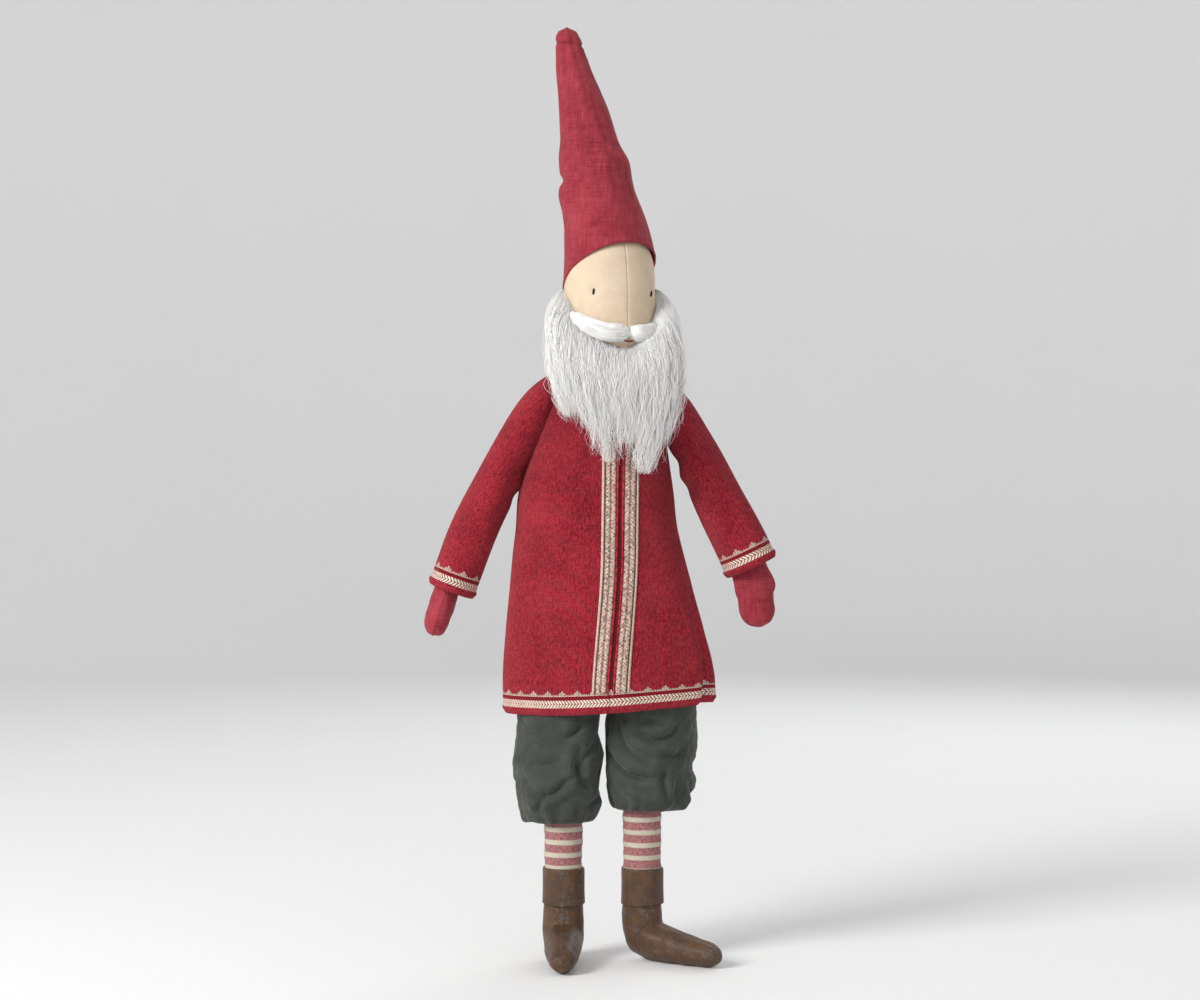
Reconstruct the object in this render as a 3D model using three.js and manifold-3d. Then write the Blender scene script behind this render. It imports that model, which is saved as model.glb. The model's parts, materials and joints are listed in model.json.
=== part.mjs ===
// A cloth gnome doll, 690 mm tall, that stands on its two boots.
//
// The doll is sewn from casings of cloth filled with loose fibre: a torso, a head on a short
// neck, two arms and two legs. It wears a knitted tunic with long sleeves, wide breeches
// gathered over the knees, a stiffly filled cone of a hat, and imitation leather boots.
//
// Frame: millimetres, +Z up. The doll faces -Y. Left and right are those of somebody who
// faces the doll, so "left" is at -X. The origin is on the ground, at the middle of the doll.

import * as THREE from "three";
import { mergeVertices } from "three/addons/utils/BufferGeometryUtils.js";
import Module from "manifold-3d";

const wasm = await Module();
wasm.setup();

// ---------------------------------------------------------------- driving dimensions

const GAP = 0.4; // clearance that sewn neighbours keep
const CLOTH = 1.2; // thickness of a woven casing
const KNIT = 2.6; // thickness of the knitted tunic
const OPEN_END = 3; // how far a cavity runs out of the open end of its casing

const HIP_HEIGHT = 208; // the line about which both legs swing
const SHOULDER_HEIGHT = 395; // the line about which both arms swing
const SHOULDER_REACH = 58; // from the middle of the doll to the root of each arm
const NECK = new THREE.Vector3(7, 0, 442.5); // centre of the ball of the neck
const NECK_RADIUS = 13;
const HEAD_BASE = 448; // height of the flat underside of the head
const FACE_TURN = 22; // degrees that the face is turned to the right at rest

const BODY_DEPTH = 9; // how far the body's axis stands behind the origin
const LEFT_LEG_X = -27;
const RIGHT_LEG_X = 31;
const KNEE_GARTER_HEIGHT = 5;

const HEM_HEIGHT = 184; // lower edge of the tunic
const NECKLINE_HEIGHT = 423.5; // upper edge of the tunic
const FRONT_EDGE_X = 14; // where the tunic's two fronts meet
const TRIM_WIDTH = 11;
const TRIM_THICKNESS = 1.6;

const BOOT_WALL = 1.2;
const BOOT_SHAFT_TOP = 66;
const BOOT_CUFF = { bottom: 41, top: 68, inner: 14.8, outer: 16 };
const LEFT_BOOT_TURN = 0; // degrees that each toe turns to the right
const RIGHT_BOOT_TURN = 55;

// ---------------------------------------------------------------- materials

const cloth = (color, roughness = 0.9) =>
  new THREE.MeshStandardMaterial({ color, roughness, metalness: 0 });

const MATERIALS = {
  cotton: cloth(0xe8d3b4),
  filling: cloth(0xf2efe6, 1),
  redLinen: cloth(0xb23b46),
  redKnit: cloth(0xa12a38),
  trim: cloth(0xcdb4a5),
  breeches: cloth(0x555853),
  striped: cloth(0xbe646e),
  leather: cloth(0x5c4432, 0.55),
  wool: cloth(0xe9e4da, 1),
  blackThread: cloth(0x1c1a1a, 0.7),
  redThread: cloth(0x7a1f26, 0.7),
  elastic: cloth(0xdedad2, 0.8),
  ballast: cloth(0x8c8375, 0.8),
};

// ---------------------------------------------------------------- solids

// A closed three.js geometry as a manifold solid.
function solid(geometry) {
  const bare = geometry.clone();
  bare.deleteAttribute("normal");
  bare.deleteAttribute("uv");
  const merged = mergeVertices(bare, 1e-4);
  const index = merged.index.array;
  const triangles = [];
  for (let i = 0; i < index.length; i += 3) {
    const [a, b, c] = index.subarray(i, i + 3);
    if (a !== b && b !== c && c !== a) triangles.push(a, b, c);
  }
  const made = (triVerts) =>
    new wasm.Manifold(
      new wasm.Mesh({
        numProp: 3,
        vertProperties: merged.attributes.position.array,
        triVerts: new Uint32Array(triVerts),
      }),
    );
  const first = made(triangles);
  return first.volume() > 0 ? first : made(triangles.reverse());
}

// A manifold solid as a three.js geometry.
function geometryOf(manifold) {
  const mesh = manifold.getMesh();
  const positions = new Float32Array(mesh.numVert * 3);
  for (let i = 0; i < mesh.numVert; i += 1) {
    const start = i * mesh.numProp;
    positions.set(mesh.vertProperties.subarray(start, start + 3), 3 * i);
  }
  return new THREE.BufferGeometry()
    .setAttribute("position", new THREE.BufferAttribute(positions, 3))
    .setIndex(new THREE.BufferAttribute(mesh.triVerts, 1));
}

const point = ([x, y, z]) => new THREE.Vector3(x, y, z);

// A soft closed form through a list of sections, each [x, y, z, half width, half depth].
// The sections lie level, or at right angles to the spine when a side direction is given:
// then the half depth is measured along that side.
function loft(sections, { side = null, around = 12, steps = 1 } = {}) {
  const spine = new THREE.CatmullRomCurve3(sections.map(point), false, "catmullrom");
  const sizes = new THREE.CatmullRomCurve3(
    sections.map(([, , , width, depth]) => new THREE.Vector3(width, depth, 0)),
    false,
    "catmullrom",
  );
  const rings = (sections.length - 1) * steps;
  const profile = [new THREE.Vector2(0, 0)];
  for (let i = 0; i <= rings; i += 1) profile.push(new THREE.Vector2(1, i / rings));
  profile.push(new THREE.Vector2(0, 1));
  const form = new THREE.LatheGeometry(profile, around);
  const places = form.getAttribute("position");
  const depthWay = side ?? new THREE.Vector3(0, 1, 0);
  for (let i = 0; i < places.count; i += 1) {
    const along = places.getY(i);
    const centre = spine.getPoint(along);
    const size = sizes.getPoint(along);
    const widthWay = side
      ? spine.getTangent(along).cross(side).normalize()
      : new THREE.Vector3(1, 0, 0);
    centre.addScaledVector(widthWay, places.getX(i) * size.x);
    centre.addScaledVector(depthWay, places.getZ(i) * size.y);
    places.setXYZ(i, centre.x, centre.y, centre.z);
  }
  return solid(form);
}

const grow = (sections, by) =>
  sections.map(([x, y, z, width, depth]) => [x, y, z, width + by, depth + by]);

// The sections with each end of the spine moved outwards by a length, or inwards by a
// negative one.
function lengthen(sections, first, last) {
  const longer = sections.map((section) => [...section]);
  const move = (end, neighbour, by) => {
    const way = point(end).sub(point(neighbour)).normalize().toArray();
    way.forEach((share, axis) => {
      end[axis] += by * share;
    });
  };
  move(longer[0], sections[1], first);
  move(longer.at(-1), sections.at(-2), last);
  return longer;
}

// A cloth casing and its filling. `open` says which ends of the casing are open.
function cased(sections, { wall = CLOTH, open = {}, ...options } = {}) {
  const cavity = lengthen(
    grow(sections, -wall),
    open.first ? OPEN_END : -wall,
    open.last ? OPEN_END : -wall,
  );
  const inside = wall + GAP;
  const filling = lengthen(
    grow(sections, -inside),
    open.first ? 0 : -inside,
    open.last ? 0 : -inside,
  );
  return [loft(sections, options).subtract(loft(cavity, options)), loft(filling, options)];
}

// A block between two corners, for cutting.
function block([x0, y0, z0], [x1, y1, z1]) {
  const box = new THREE.BoxGeometry(x1 - x0, y1 - y0, z1 - z0);
  return solid(box.translate((x0 + x1) / 2, (y0 + y1) / 2, (z0 + z1) / 2));
}

const FAR = 800; // reaches past the whole doll

const above = (z) => block([-FAR, -FAR, z], [FAR, FAR, FAR]);
const leftOf = (x) => block([-FAR, -FAR, -FAR], [x, FAR, FAR]);
const rightOf = (x) => block([x, -FAR, -FAR], [FAR, FAR, FAR]);
const inFrontOf = (y) => block([-FAR, -FAR, -FAR], [FAR, y, FAR]);
const behind = (y) => block([-FAR, y, -FAR], [FAR, FAR, FAR]);

// A level oval band between two heights.
function band([x, y], bottom, top, inner, outer, options) {
  const ring = ([width, depth], from, to) =>
    loft(
      [
        [x, y, from, width, depth],
        [x, y, to, width, depth],
      ],
      options,
    );
  return ring(outer, bottom, top).subtract(ring(inner, bottom - 1, top + 1));
}

const doll = new THREE.Group();

function place(name, manifold, material, group = doll) {
  const mesh = new THREE.Mesh(geometryOf(manifold), material);
  mesh.name = name;
  group.add(mesh);
}

// ---------------------------------------------------------------- torso

const TORSO = [
  [4, 0, 223, 44, 29],
  [4, 0, 234, 53, 36],
  [0, 0, 285, 54, 37],
  [-3, 0, 345, 51, 35],
  [-1, 0, 375, 42, 30],
  [1, 0, 397, 39, 27],
  [5, 0, 418, 34, 22],
  [6, 0, 429, 20, 15],
];
const TORSO_LOOK = { around: 16 };

function addTorso() {
  const [casing, stuffing] = cased(TORSO, { open: { last: true }, ...TORSO_LOOK });
  place("torso_casing", casing, MATERIALS.cotton);
  place("torso_stuffing", stuffing, MATERIALS.filling);
}

// ---------------------------------------------------------------- neck and head

const HEAD = [
  [0, 0, HEAD_BASE, 14, 14],
  [0, -1, 455, 24, 25],
  [0, -1, 468, 31, 32],
  [0, -1, 485, 32, 33.5],
  [0, 0, 503, 31, 32],
  [0, 0, 518, 26, 27],
  [0, 0, 529, 17, 18],
  [0, 0, 534, 6, 7],
];
const HEAD_LOOK = { around: 16 };

function addNeck() {
  const ball = (radius) =>
    solid(new THREE.SphereGeometry(radius, 12, 8).translate(NECK.x, NECK.y, NECK.z));
  const top = above(HEAD_BASE - GAP);
  const cavity = ball(NECK_RADIUS - CLOTH);
  const filling = ball(NECK_RADIUS - CLOTH - GAP);
  place("neck_casing", ball(NECK_RADIUS).subtract(cavity).subtract(top), MATERIALS.cotton);
  place("neck_stuffing", filling.subtract(top), MATERIALS.filling);
}

// The head is built facing forwards in a group of its own, which turns it to the right.
function addHead() {
  const head = new THREE.Group();
  head.position.set(NECK.x, NECK.y, 0);
  head.rotation.z = THREE.MathUtils.degToRad(FACE_TURN);
  doll.add(head);

  const [casing, stuffing] = cased(HEAD, { open: { first: true }, ...HEAD_LOOK });
  place("head_left_panel", casing.intersect(leftOf(-GAP / 2)), MATERIALS.cotton, head);
  place("head_right_panel", casing.intersect(rightOf(GAP / 2)), MATERIALS.cotton, head);
  place("head_stuffing", stuffing, MATERIALS.filling, head);

  // Each eye is one upright stitch, and the mouth is one short level stitch.
  const stitch = (length, angle, x, y, z, lean) => {
    const thread = new THREE.CapsuleGeometry(0.7, length, 1, 6).rotateX(Math.PI / 2);
    return solid(thread.rotateY(lean).rotateZ(angle).translate(x, y, z));
  };
  const eyeAngle = THREE.MathUtils.degToRad(45);
  for (const [name, way] of [["left_eye", -1], ["right_eye", 1]]) {
    const x = way * 34.2 * Math.sin(eyeAngle);
    const y = -34.6 * Math.cos(eyeAngle) - 1;
    place(name, stitch(3, 0, x, y, 489, 0), MATERIALS.blackThread, head);
  }
  place("mouth_stitch", stitch(5, 0, 0, -30.6, 453.5, Math.PI / 2), MATERIALS.redThread, head);

  const face = loft(grow(HEAD, 2 * GAP), HEAD_LOOK);
  for (const [name, way] of [["left_moustache", -1], ["right_moustache", 1]]) {
    place(name, moustacheLock(way, 0).subtract(face), MATERIALS.wool, head);
  }
}

// The moustache is two locks of wool that part under the middle seam of the face.
function moustacheLock(way, room) {
  const sections = [
    [way * 1.5, -38.5, 462, 3, 3],
    [way * 12, -38.5, 460, 7, 5],
    [way * 25, -33, 464, 6, 5],
    [way * 35, -24, 471, 2, 2.5],
  ];
  const look = { side: new THREE.Vector3(0, 1, 0), around: 10, steps: 2 };
  return loft(lengthen(grow(sections, room), room, room), look);
}

// ---------------------------------------------------------------- hat

const HAT = [
  [10, 1, 468, 36, 36],
  [9, 1, 486, 36, 37],
  [8, 1, 505, 34.6, 36],
  [6.5, 1, 522, 32.4, 33],
  [2.5, 2, 544, 30, 30],
  [-2, 3, 566, 27.4, 27],
  [-5, 4, 588, 25, 24],
  [-10.5, 5, 612, 20.4, 19.4],
  [-17, 7, 643, 15.2, 15],
  [-22, 8, 668, 10.4, 10],
  [-23.5, 8, 679, 8.6, 8.4],
  [-24.3, 8, 688, 4.5, 4.5],
];
const HAT_LOOK = { side: new THREE.Vector3(0, 1, 0), around: 14 };
const HAT_WALL = 1.3;
const HAT_FILLING_BASE = 536;

// Everything above the rim of the hat, a plane that rises to the front and to the right.
function aboveRim() {
  const rimHeight = 503;
  const rise = new THREE.Vector3(-0.33, 0.53, 1).normalize();
  const turn = new THREE.Quaternion().setFromUnitVectors(new THREE.Vector3(0, 0, 1), rise);
  const half = new THREE.BoxGeometry(FAR, FAR, FAR).translate(0, 0, FAR / 2);
  return solid(half.applyQuaternion(turn).translate(0, 0, rimHeight));
}

function addHat() {
  const [casing, stuffing] = cased(HAT, {
    wall: HAT_WALL,
    open: { first: true },
    ...HAT_LOOK,
  });
  place("hat_cone", casing.intersect(aboveRim()), MATERIALS.redLinen);
  place("hat_stuffing", stuffing.intersect(above(HAT_FILLING_BASE)), MATERIALS.filling);
  const tie = new THREE.TorusGeometry(10.6, 0.6, 6, 18).rotateY(-0.13);
  place("hat_tip_thread", solid(tie.translate(-23, 8, 675)), MATERIALS.redThread);
}

// ---------------------------------------------------------------- tunic

const TUNIC = [
  [7, 0, HEM_HEIGHT, 77.5, 49],
  [6.5, 0, 205, 77.5, 48],
  [4.5, 0, 240, 73.5, 46],
  [1, 0, 278, 67, 44],
  [-2, 0, 310, 62, 42.5],
  [-3, 0, 340, 59, 41],
  [-1, 0, 370, 52, 38],
  [1, 0, 397, 46.6, 34],
  [5, 0, NECKLINE_HEIGHT, 41, 28],
];
const TUNIC_LOOK = { around: 20, steps: 1 };

// The space between two skins that lie `inner` and `outer` off the tunic's face.
const tunicLayer = (inner, outer) =>
  loft(grow(TUNIC, outer), TUNIC_LOOK).subtract(
    loft(lengthen(grow(TUNIC, inner), OPEN_END, OPEN_END), TUNIC_LOOK),
  );

function addTunic() {
  const cloth = tunicLayer(-KNIT, 0);
  const fronts = cloth.intersect(inFrontOf(-GAP / 2));
  const armholes = solid(
    new THREE.CylinderGeometry(9, 9, 4 * SHOULDER_REACH, 12)
      .rotateZ(Math.PI / 2)
      .translate(0, 0, SHOULDER_HEIGHT),
  );
  const left = fronts.intersect(leftOf(FRONT_EDGE_X - GAP / 2));
  const right = fronts.intersect(rightOf(FRONT_EDGE_X + GAP / 2));
  place("tunic_left_front", left.subtract(armholes), MATERIALS.redKnit);
  place("tunic_right_front", right.subtract(armholes), MATERIALS.redKnit);
  place(
    "tunic_back",
    cloth.intersect(behind(GAP / 2)).subtract(armholes),
    MATERIALS.redKnit,
  );
  place(
    "tunic_neckband",
    band([5, 0], NECKLINE_HEIGHT + GAP, 433, [38, 25], [41, 28], { around: 20 }),
    MATERIALS.trim,
  );

  // A marled braid is sewn beside each front edge, from above the hem up under the beard.
  const braids = tunicLayer(GAP, GAP + TRIM_THICKNESS).intersect(inFrontOf(-10));
  for (const [name, way] of [["left_front_trim", -1], ["right_front_trim", 1]]) {
    const near = FRONT_EDGE_X + way * 2.5;
    const far = near + way * TRIM_WIDTH;
    const strip = block([Math.min(near, far), -FAR, 197], [Math.max(near, far), 0, 398]);
    place(name, braids.intersect(strip), MATERIALS.trim);
  }
}

// ---------------------------------------------------------------- beard

// One mass of carded wool under the face, with a puff that climbs each cheek.
function addBeard() {
  const main = loft(
    [
      [4, -47, 370, 9, 4],
      [5, -48, 380, 24, 8],
      [7, -48.5, 395, 40, 10.5],
      [8, -47, 420, 46, 14],
      [8, -40, 444, 44, 14],
      [8, -36, 452, 34, 10],
    ],
    { around: 18, steps: 1 },
  );
  const puffOptions = { side: new THREE.Vector3(0, 1, 0), around: 10, steps: 1 };
  const leftPuff = loft(
    [
      [-28, -36, 428, 9, 10],
      [-31, -22, 452, 8.5, 11],
      [-30, -14, 474, 7.5, 9],
      [-25, -10, 489, 3, 4],
    ],
    puffOptions,
  );
  const rightPuff = loft(
    [
      [44, -36, 428, 9, 10],
      [47, -22, 450, 8, 11],
      [46.5, -10, 468, 5.5, 8],
      [43.5, -4, 484, 2.5, 4],
    ],
    puffOptions,
  );
  const turned = (form) => form.rotate([0, 0, FACE_TURN]).translate([NECK.x, NECK.y, 0]);
  const face = turned(loft(grow(HEAD, 2 * GAP), HEAD_LOOK));
  const shoulders = loft(grow(TUNIC, GAP), TUNIC_LOOK);
  const collar = band([5, 0], NECKLINE_HEIGHT - 2, 434, [10, 10], [42, 29]);
  const brim = loft(grow(HAT, GAP), HAT_LOOK).intersect(aboveRim());
  const moustaches = turned(moustacheLock(-1, 1).add(moustacheLock(1, 1)));
  const wool = main
    .add(leftPuff)
    .add(rightPuff)
    .subtract(face)
    .subtract(shoulders)
    .subtract(collar)
    .subtract(brim)
    .subtract(moustaches);
  const whole = wool.decompose().sort((a, b) => b.volume() - a.volume())[0];
  place("beard", whole, MATERIALS.wool);
}

// ---------------------------------------------------------------- arms

const ARM_LOOK = { side: new THREE.Vector3(0, 1, 0), around: 12 };

const ARMS = {
  left: {
    casing: [
      [-SHOULDER_REACH, 0, SHOULDER_HEIGHT + 2, 10, 10],
      [-66, 0, 377, 11, 11],
      [-84, 0, 335, 11, 11],
      [-101, 0, 298, 10, 10],
      [-111, -1, 276, 8.5, 9],
    ],
    sleeve: [
      [-40, 0, 414, 14, 15],
      [-56, 0, 396, 17, 20],
      [-67, 0, 370, 18.5, 23],
      [-84, 0, 332, 18.5, 24],
      [-100, 0, 298, 19, 24],
      [-109.5, 0, 273.5, 19, 24],
    ],
    mitten: [
      [-112.5, -1, 275, 7, 9],
      [-116, -1, 267, 9.5, 13],
      [-120.5, -2, 253, 10.5, 15],
      [-122.5, -2, 243, 8.5, 11],
      [-123, -2, 238, 4, 5],
    ],
    thumb: [
      [-116, 6, 273, 4, 4],
      [-118, 13, 267, 4.5, 4.5],
      [-120, 18, 257, 4, 4],
      [-120.5, 19, 251, 2, 2],
    ],
  },
  right: {
    casing: [
      [SHOULDER_REACH, 0, SHOULDER_HEIGHT + 2, 10, 10],
      [64, 0, 377, 11, 11],
      [82, 0, 337, 11, 11],
      [99, 0, 306, 10, 10],
      [109, 0, 287, 9, 8.5],
    ],
    sleeve: [
      [44, 0, 414, 14, 15],
      [57, 0, 397, 18, 18],
      [66, 0, 368, 22, 19],
      [84, 0, 333, 23.5, 19],
      [100, 0, 306, 22.5, 19],
      [109.5, 0, 289, 22, 19],
    ],
    mitten: [
      [110.5, -1, 286, 9, 7],
      [112.5, -1, 278, 12, 9],
      [116, -2, 262, 14.5, 10.5],
      [117.5, -2, 251, 11.5, 8.5],
      [118, -2, 245, 5, 4],
    ],
    thumb: [
      [117, -1, 287, 4, 4],
      [123, -1, 281, 4.5, 4.5],
      [128, -1, 274, 3.5, 3.5],
      [129.5, -1, 270, 1.8, 1.8],
    ],
  },
};

function addArm(side, { casing, sleeve, mitten, thumb }) {
  const [cover, filling] = cased(casing, { open: { last: true }, ...ARM_LOOK });
  place(`${side}_arm_casing`, cover, MATERIALS.cotton);
  place(`${side}_arm_stuffing`, filling, MATERIALS.filling);

  const bore = loft(lengthen(grow(casing, 2 * GAP), 20, 20), ARM_LOOK);
  const body = loft(grow(TUNIC, GAP), TUNIC_LOOK);
  const handSpace = loft(grow(mitten, 2 * GAP), ARM_LOOK);
  const thumbSpace = loft(grow(thumb, 2 * GAP), ARM_LOOK);
  const knitted = loft(sleeve, ARM_LOOK)
    .subtract(bore)
    .subtract(body)
    .subtract(handSpace)
    .subtract(thumbSpace);
  place(`${side}_sleeve`, knitted, MATERIALS.redKnit);

  const [handCover, handFilling] = cased(mitten, { open: { first: true }, ...ARM_LOOK });
  const thumbOptions = { ...ARM_LOOK, around: 8 };
  const wrist = loft(lengthen(grow(casing, GAP), 0, GAP), ARM_LOOK);
  const handCavity = loft(
    lengthen(grow(mitten, -CLOTH), OPEN_END, -CLOTH),
    ARM_LOOK,
  );
  place(
    `${side}_mitten`,
    handCover.add(loft(thumb, thumbOptions).subtract(handCavity)).subtract(wrist),
    MATERIALS.redLinen,
  );
  place(`${side}_hand_stuffing`, handFilling.subtract(wrist), MATERIALS.filling);
}

// ---------------------------------------------------------------- legs and breeches

const LEG_TOP = HIP_HEIGHT + 13;

const legSections = (x) => [
  [x, 0, LEG_TOP, 6, 6],
  [x, 0, LEG_TOP - 6, 11, 11],
  [x, 0, HIP_HEIGHT - 4, 13.2, 13.2],
  [x, 0, 140, 14, 14],
  [x, 0, 85, 14.4, 14.4],
  [x, 0, 69, 13, 13],
  [x, 0, 64, 12.1, 12.1],
  [x, 0, 46, 12, 12],
];

const LEGS = {
  left: {
    x: LEFT_LEG_X,
    bootTurn: LEFT_BOOT_TURN,
    garter: 103,
    breeches: [
      [-31, 0, 205, 29, 32],
      [-32, 0, 180, 32.5, 36],
      [-32, 0, 150, 33, 37],
      [-31, 0, 124, 31, 34],
      [-29, 0, 107, 25, 27],
      [-27.5, 0, 100, 19.5, 20],
    ],
  },
  right: {
    x: RIGHT_LEG_X,
    bootTurn: RIGHT_BOOT_TURN,
    garter: 113,
    breeches: [
      [36, 0, 205, 29, 32],
      [37, 0, 180, 32, 36],
      [37, 0, 157, 32.5, 37],
      [36, 0, 133, 31, 34],
      [34, 0, 117, 25.5, 27],
      [31.5, 0, 110, 19.5, 20],
    ],
  },
};

function addLeg(side, { x, garter, breeches }) {
  const leg = legSections(x);
  const [cover, filling] = cased(leg, { open: { last: true } });
  place(`${side}_leg_casing`, cover, MATERIALS.striped);
  place(`${side}_leg_stuffing`, filling, MATERIALS.filling);

  const elastic = [14.9, 16.2];
  const radius = (r) => [r, r];
  place(
    `${side}_knee_elastic`,
    band([x, 0], garter, garter + KNEE_GARTER_HEIGHT, radius(elastic[0]), radius(elastic[1])),
    MATERIALS.elastic,
  );
  const bore = loft([
    [x, 0, 90, 16.8, 16.8],
    [x, 0, 215, 16.8, 16.8],
  ]);
  place(`${side}_breeches_leg`, loft(breeches, { around: 16 }).subtract(bore), MATERIALS.breeches);
}

const SEAT = [
  [4, 0, 207, 63, 40],
  [4, 0, 216, 64, 42],
  [4, 0, 238, 62, 41.5],
  [2, 0, 262, 58, 40.5],
];

function addSeat() {
  const cavity = lengthen(grow(SEAT, -4), OPEN_END, OPEN_END);
  const torso = loft(grow(TORSO, 2 * GAP), TORSO_LOOK);
  const seat = loft(SEAT, TORSO_LOOK).subtract(loft(cavity, TORSO_LOOK)).subtract(torso);
  place("breeches_seat", seat, MATERIALS.breeches);
  place(
    "waist_elastic",
    band([1.6, 0], 263, 269, [54.8, 37.9], [56.2, 39.3], TORSO_LOOK),
    MATERIALS.elastic,
  );
}

// ---------------------------------------------------------------- boots

const BOOT_SHAFT = [
  [0, 0, -2, 12, 12.5],
  [0, 0, 8, 14.6, 15],
  [0, 0, 24, 15.2, 15.8],
  [0, 0, 36, 14.8, 15],
  [0, 0, 42, 14.3, 14.3],
  [0, 0, BOOT_SHAFT_TOP, 14.3, 14.3],
];
const BOOT_FOOT = [
  [0, 8, 10, 12, 11],
  [0, -8, 12.5, 15.2, 15.5],
  [0, -24, 10.5, 15.4, 13.5],
  [0, -40, 7.5, 14.4, 10.5],
  [0, -54, 5, 11.4, 8],
  [0, -63, 3.5, 7.4, 6],
  [0, -67, 3, 3, 3.5],
];
const SOLE_PAD_TOP = 7; // top of the ballast bag that lies on the sole

// The boot's outer form, or its inner one when `inset` is over zero.
function bootForm(inset) {
  const across = { side: new THREE.Vector3(1, 0, 0), around: 12 };
  const footSections = BOOT_FOOT.map(([x, y, z, width, height]) => [
    x, y, z, height - inset, width - inset,
  ]);
  const top = inset ? OPEN_END : 0;
  const shaft = loft(lengthen(grow(BOOT_SHAFT, -inset), 0, top));
  const foot = loft(lengthen(footSections, -inset, -inset), across);
  return shaft.add(foot).intersect(above(inset));
}

function addBoot(side, { x, bootTurn }) {
  const boot = new THREE.Group();
  boot.position.x = x;
  boot.rotation.z = THREE.MathUtils.degToRad(bootTurn);
  doll.add(boot);

  const upper = bootForm(0).subtract(bootForm(BOOT_WALL));
  const halves = {
    left: upper.intersect(leftOf(-GAP / 2)),
    right: upper.intersect(rightOf(GAP / 2)),
  };
  const inner = side === "left" ? "right" : "left";
  place(`${side}_boot_outer_panel`, halves[side], MATERIALS.leather, boot);
  place(`${side}_boot_inner_panel`, halves[inner], MATERIALS.leather, boot);

  const { bottom, top, inner: cuffInner, outer: cuffOuter } = BOOT_CUFF;
  const cuff = band(
    [0, 0], bottom, top, [cuffInner, cuffInner], [cuffOuter, cuffOuter], { around: 16 },
  );
  place(`${side}_boot_cuff`, cuff, MATERIALS.leather, boot);

  const filling = bootForm(BOOT_WALL + GAP);
  const ballastTop = above(SOLE_PAD_TOP);
  const ankle = above(44);
  place(`${side}_boot_weight`, filling.subtract(ballastTop), MATERIALS.ballast, boot);
  place(
    `${side}_boot_stuffing`,
    filling.intersect(above(SOLE_PAD_TOP + GAP)).subtract(ankle),
    MATERIALS.filling,
    boot,
  );
}

// ---------------------------------------------------------------- assembly

addTorso();
addNeck();
addHead();
addHat();
addTunic();
addBeard();
addSeat();
for (const [side, arm] of Object.entries(ARMS)) addArm(side, arm);
for (const [side, leg] of Object.entries(LEGS)) {
  addLeg(side, leg);
  addBoot(side, leg);
}

// The body's axis stands a little behind the middle of the doll's box, as the toes reach
// further forwards than the back does backwards.
const figurine = new THREE.Group();
doll.position.y = BODY_DEPTH;
figurine.add(doll);

export default figurine;
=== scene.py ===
"""The looks of a cloth gnome doll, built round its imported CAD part.

Shapes are worked out in millimetres in the doll's own coordinates: x to the right, y to the
back from the axis of the body, z up. They become metres in the part's frame when a mesh is made.
"""

import json

import bpy
import numpy as np
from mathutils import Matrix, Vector


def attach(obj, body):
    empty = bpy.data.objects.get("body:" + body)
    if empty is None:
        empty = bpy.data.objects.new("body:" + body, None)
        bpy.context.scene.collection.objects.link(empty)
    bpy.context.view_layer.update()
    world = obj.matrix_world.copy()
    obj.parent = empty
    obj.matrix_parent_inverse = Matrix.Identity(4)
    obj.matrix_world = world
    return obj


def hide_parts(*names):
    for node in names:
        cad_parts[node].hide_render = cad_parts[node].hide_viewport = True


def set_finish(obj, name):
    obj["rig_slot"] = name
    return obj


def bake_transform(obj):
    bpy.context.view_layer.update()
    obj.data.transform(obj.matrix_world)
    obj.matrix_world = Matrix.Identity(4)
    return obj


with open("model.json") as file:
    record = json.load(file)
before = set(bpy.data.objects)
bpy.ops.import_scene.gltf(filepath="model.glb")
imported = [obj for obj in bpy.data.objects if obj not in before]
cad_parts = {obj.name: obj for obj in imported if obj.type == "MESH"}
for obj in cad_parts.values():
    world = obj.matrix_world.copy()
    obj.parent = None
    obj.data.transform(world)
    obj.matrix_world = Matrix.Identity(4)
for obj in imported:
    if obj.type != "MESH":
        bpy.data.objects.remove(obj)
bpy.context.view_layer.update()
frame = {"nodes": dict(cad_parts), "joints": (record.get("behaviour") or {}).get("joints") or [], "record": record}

MM = 0.001
JOINTS = {joint["name"]: Vector(joint["pos_m"]) / MM for joint in frame["joints"]}
AXIS_Y = JOINTS["head_turn"].y
HEAD_X = JOINTS["head_turn"].x
FACE_TURN = np.radians(22)
TAU = 2 * np.pi
WAY = {"left": -1, "right": 1}

WALE = 11.5 / 7  # width of one column of knitting
REPEAT = 7 * WALE  # width of one repeat of the border
COURSE = 1.35  # height of one row of knitting
CLOTH = 1.2  # thickness of the knitting
STRIPE_PITCH = 9.3  # height of one red and one cream stripe
STRIPE_SHARE = 0.36  # the cream stripe's share of it


# ---------------------------------------------------------------- shader arithmetic


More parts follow.
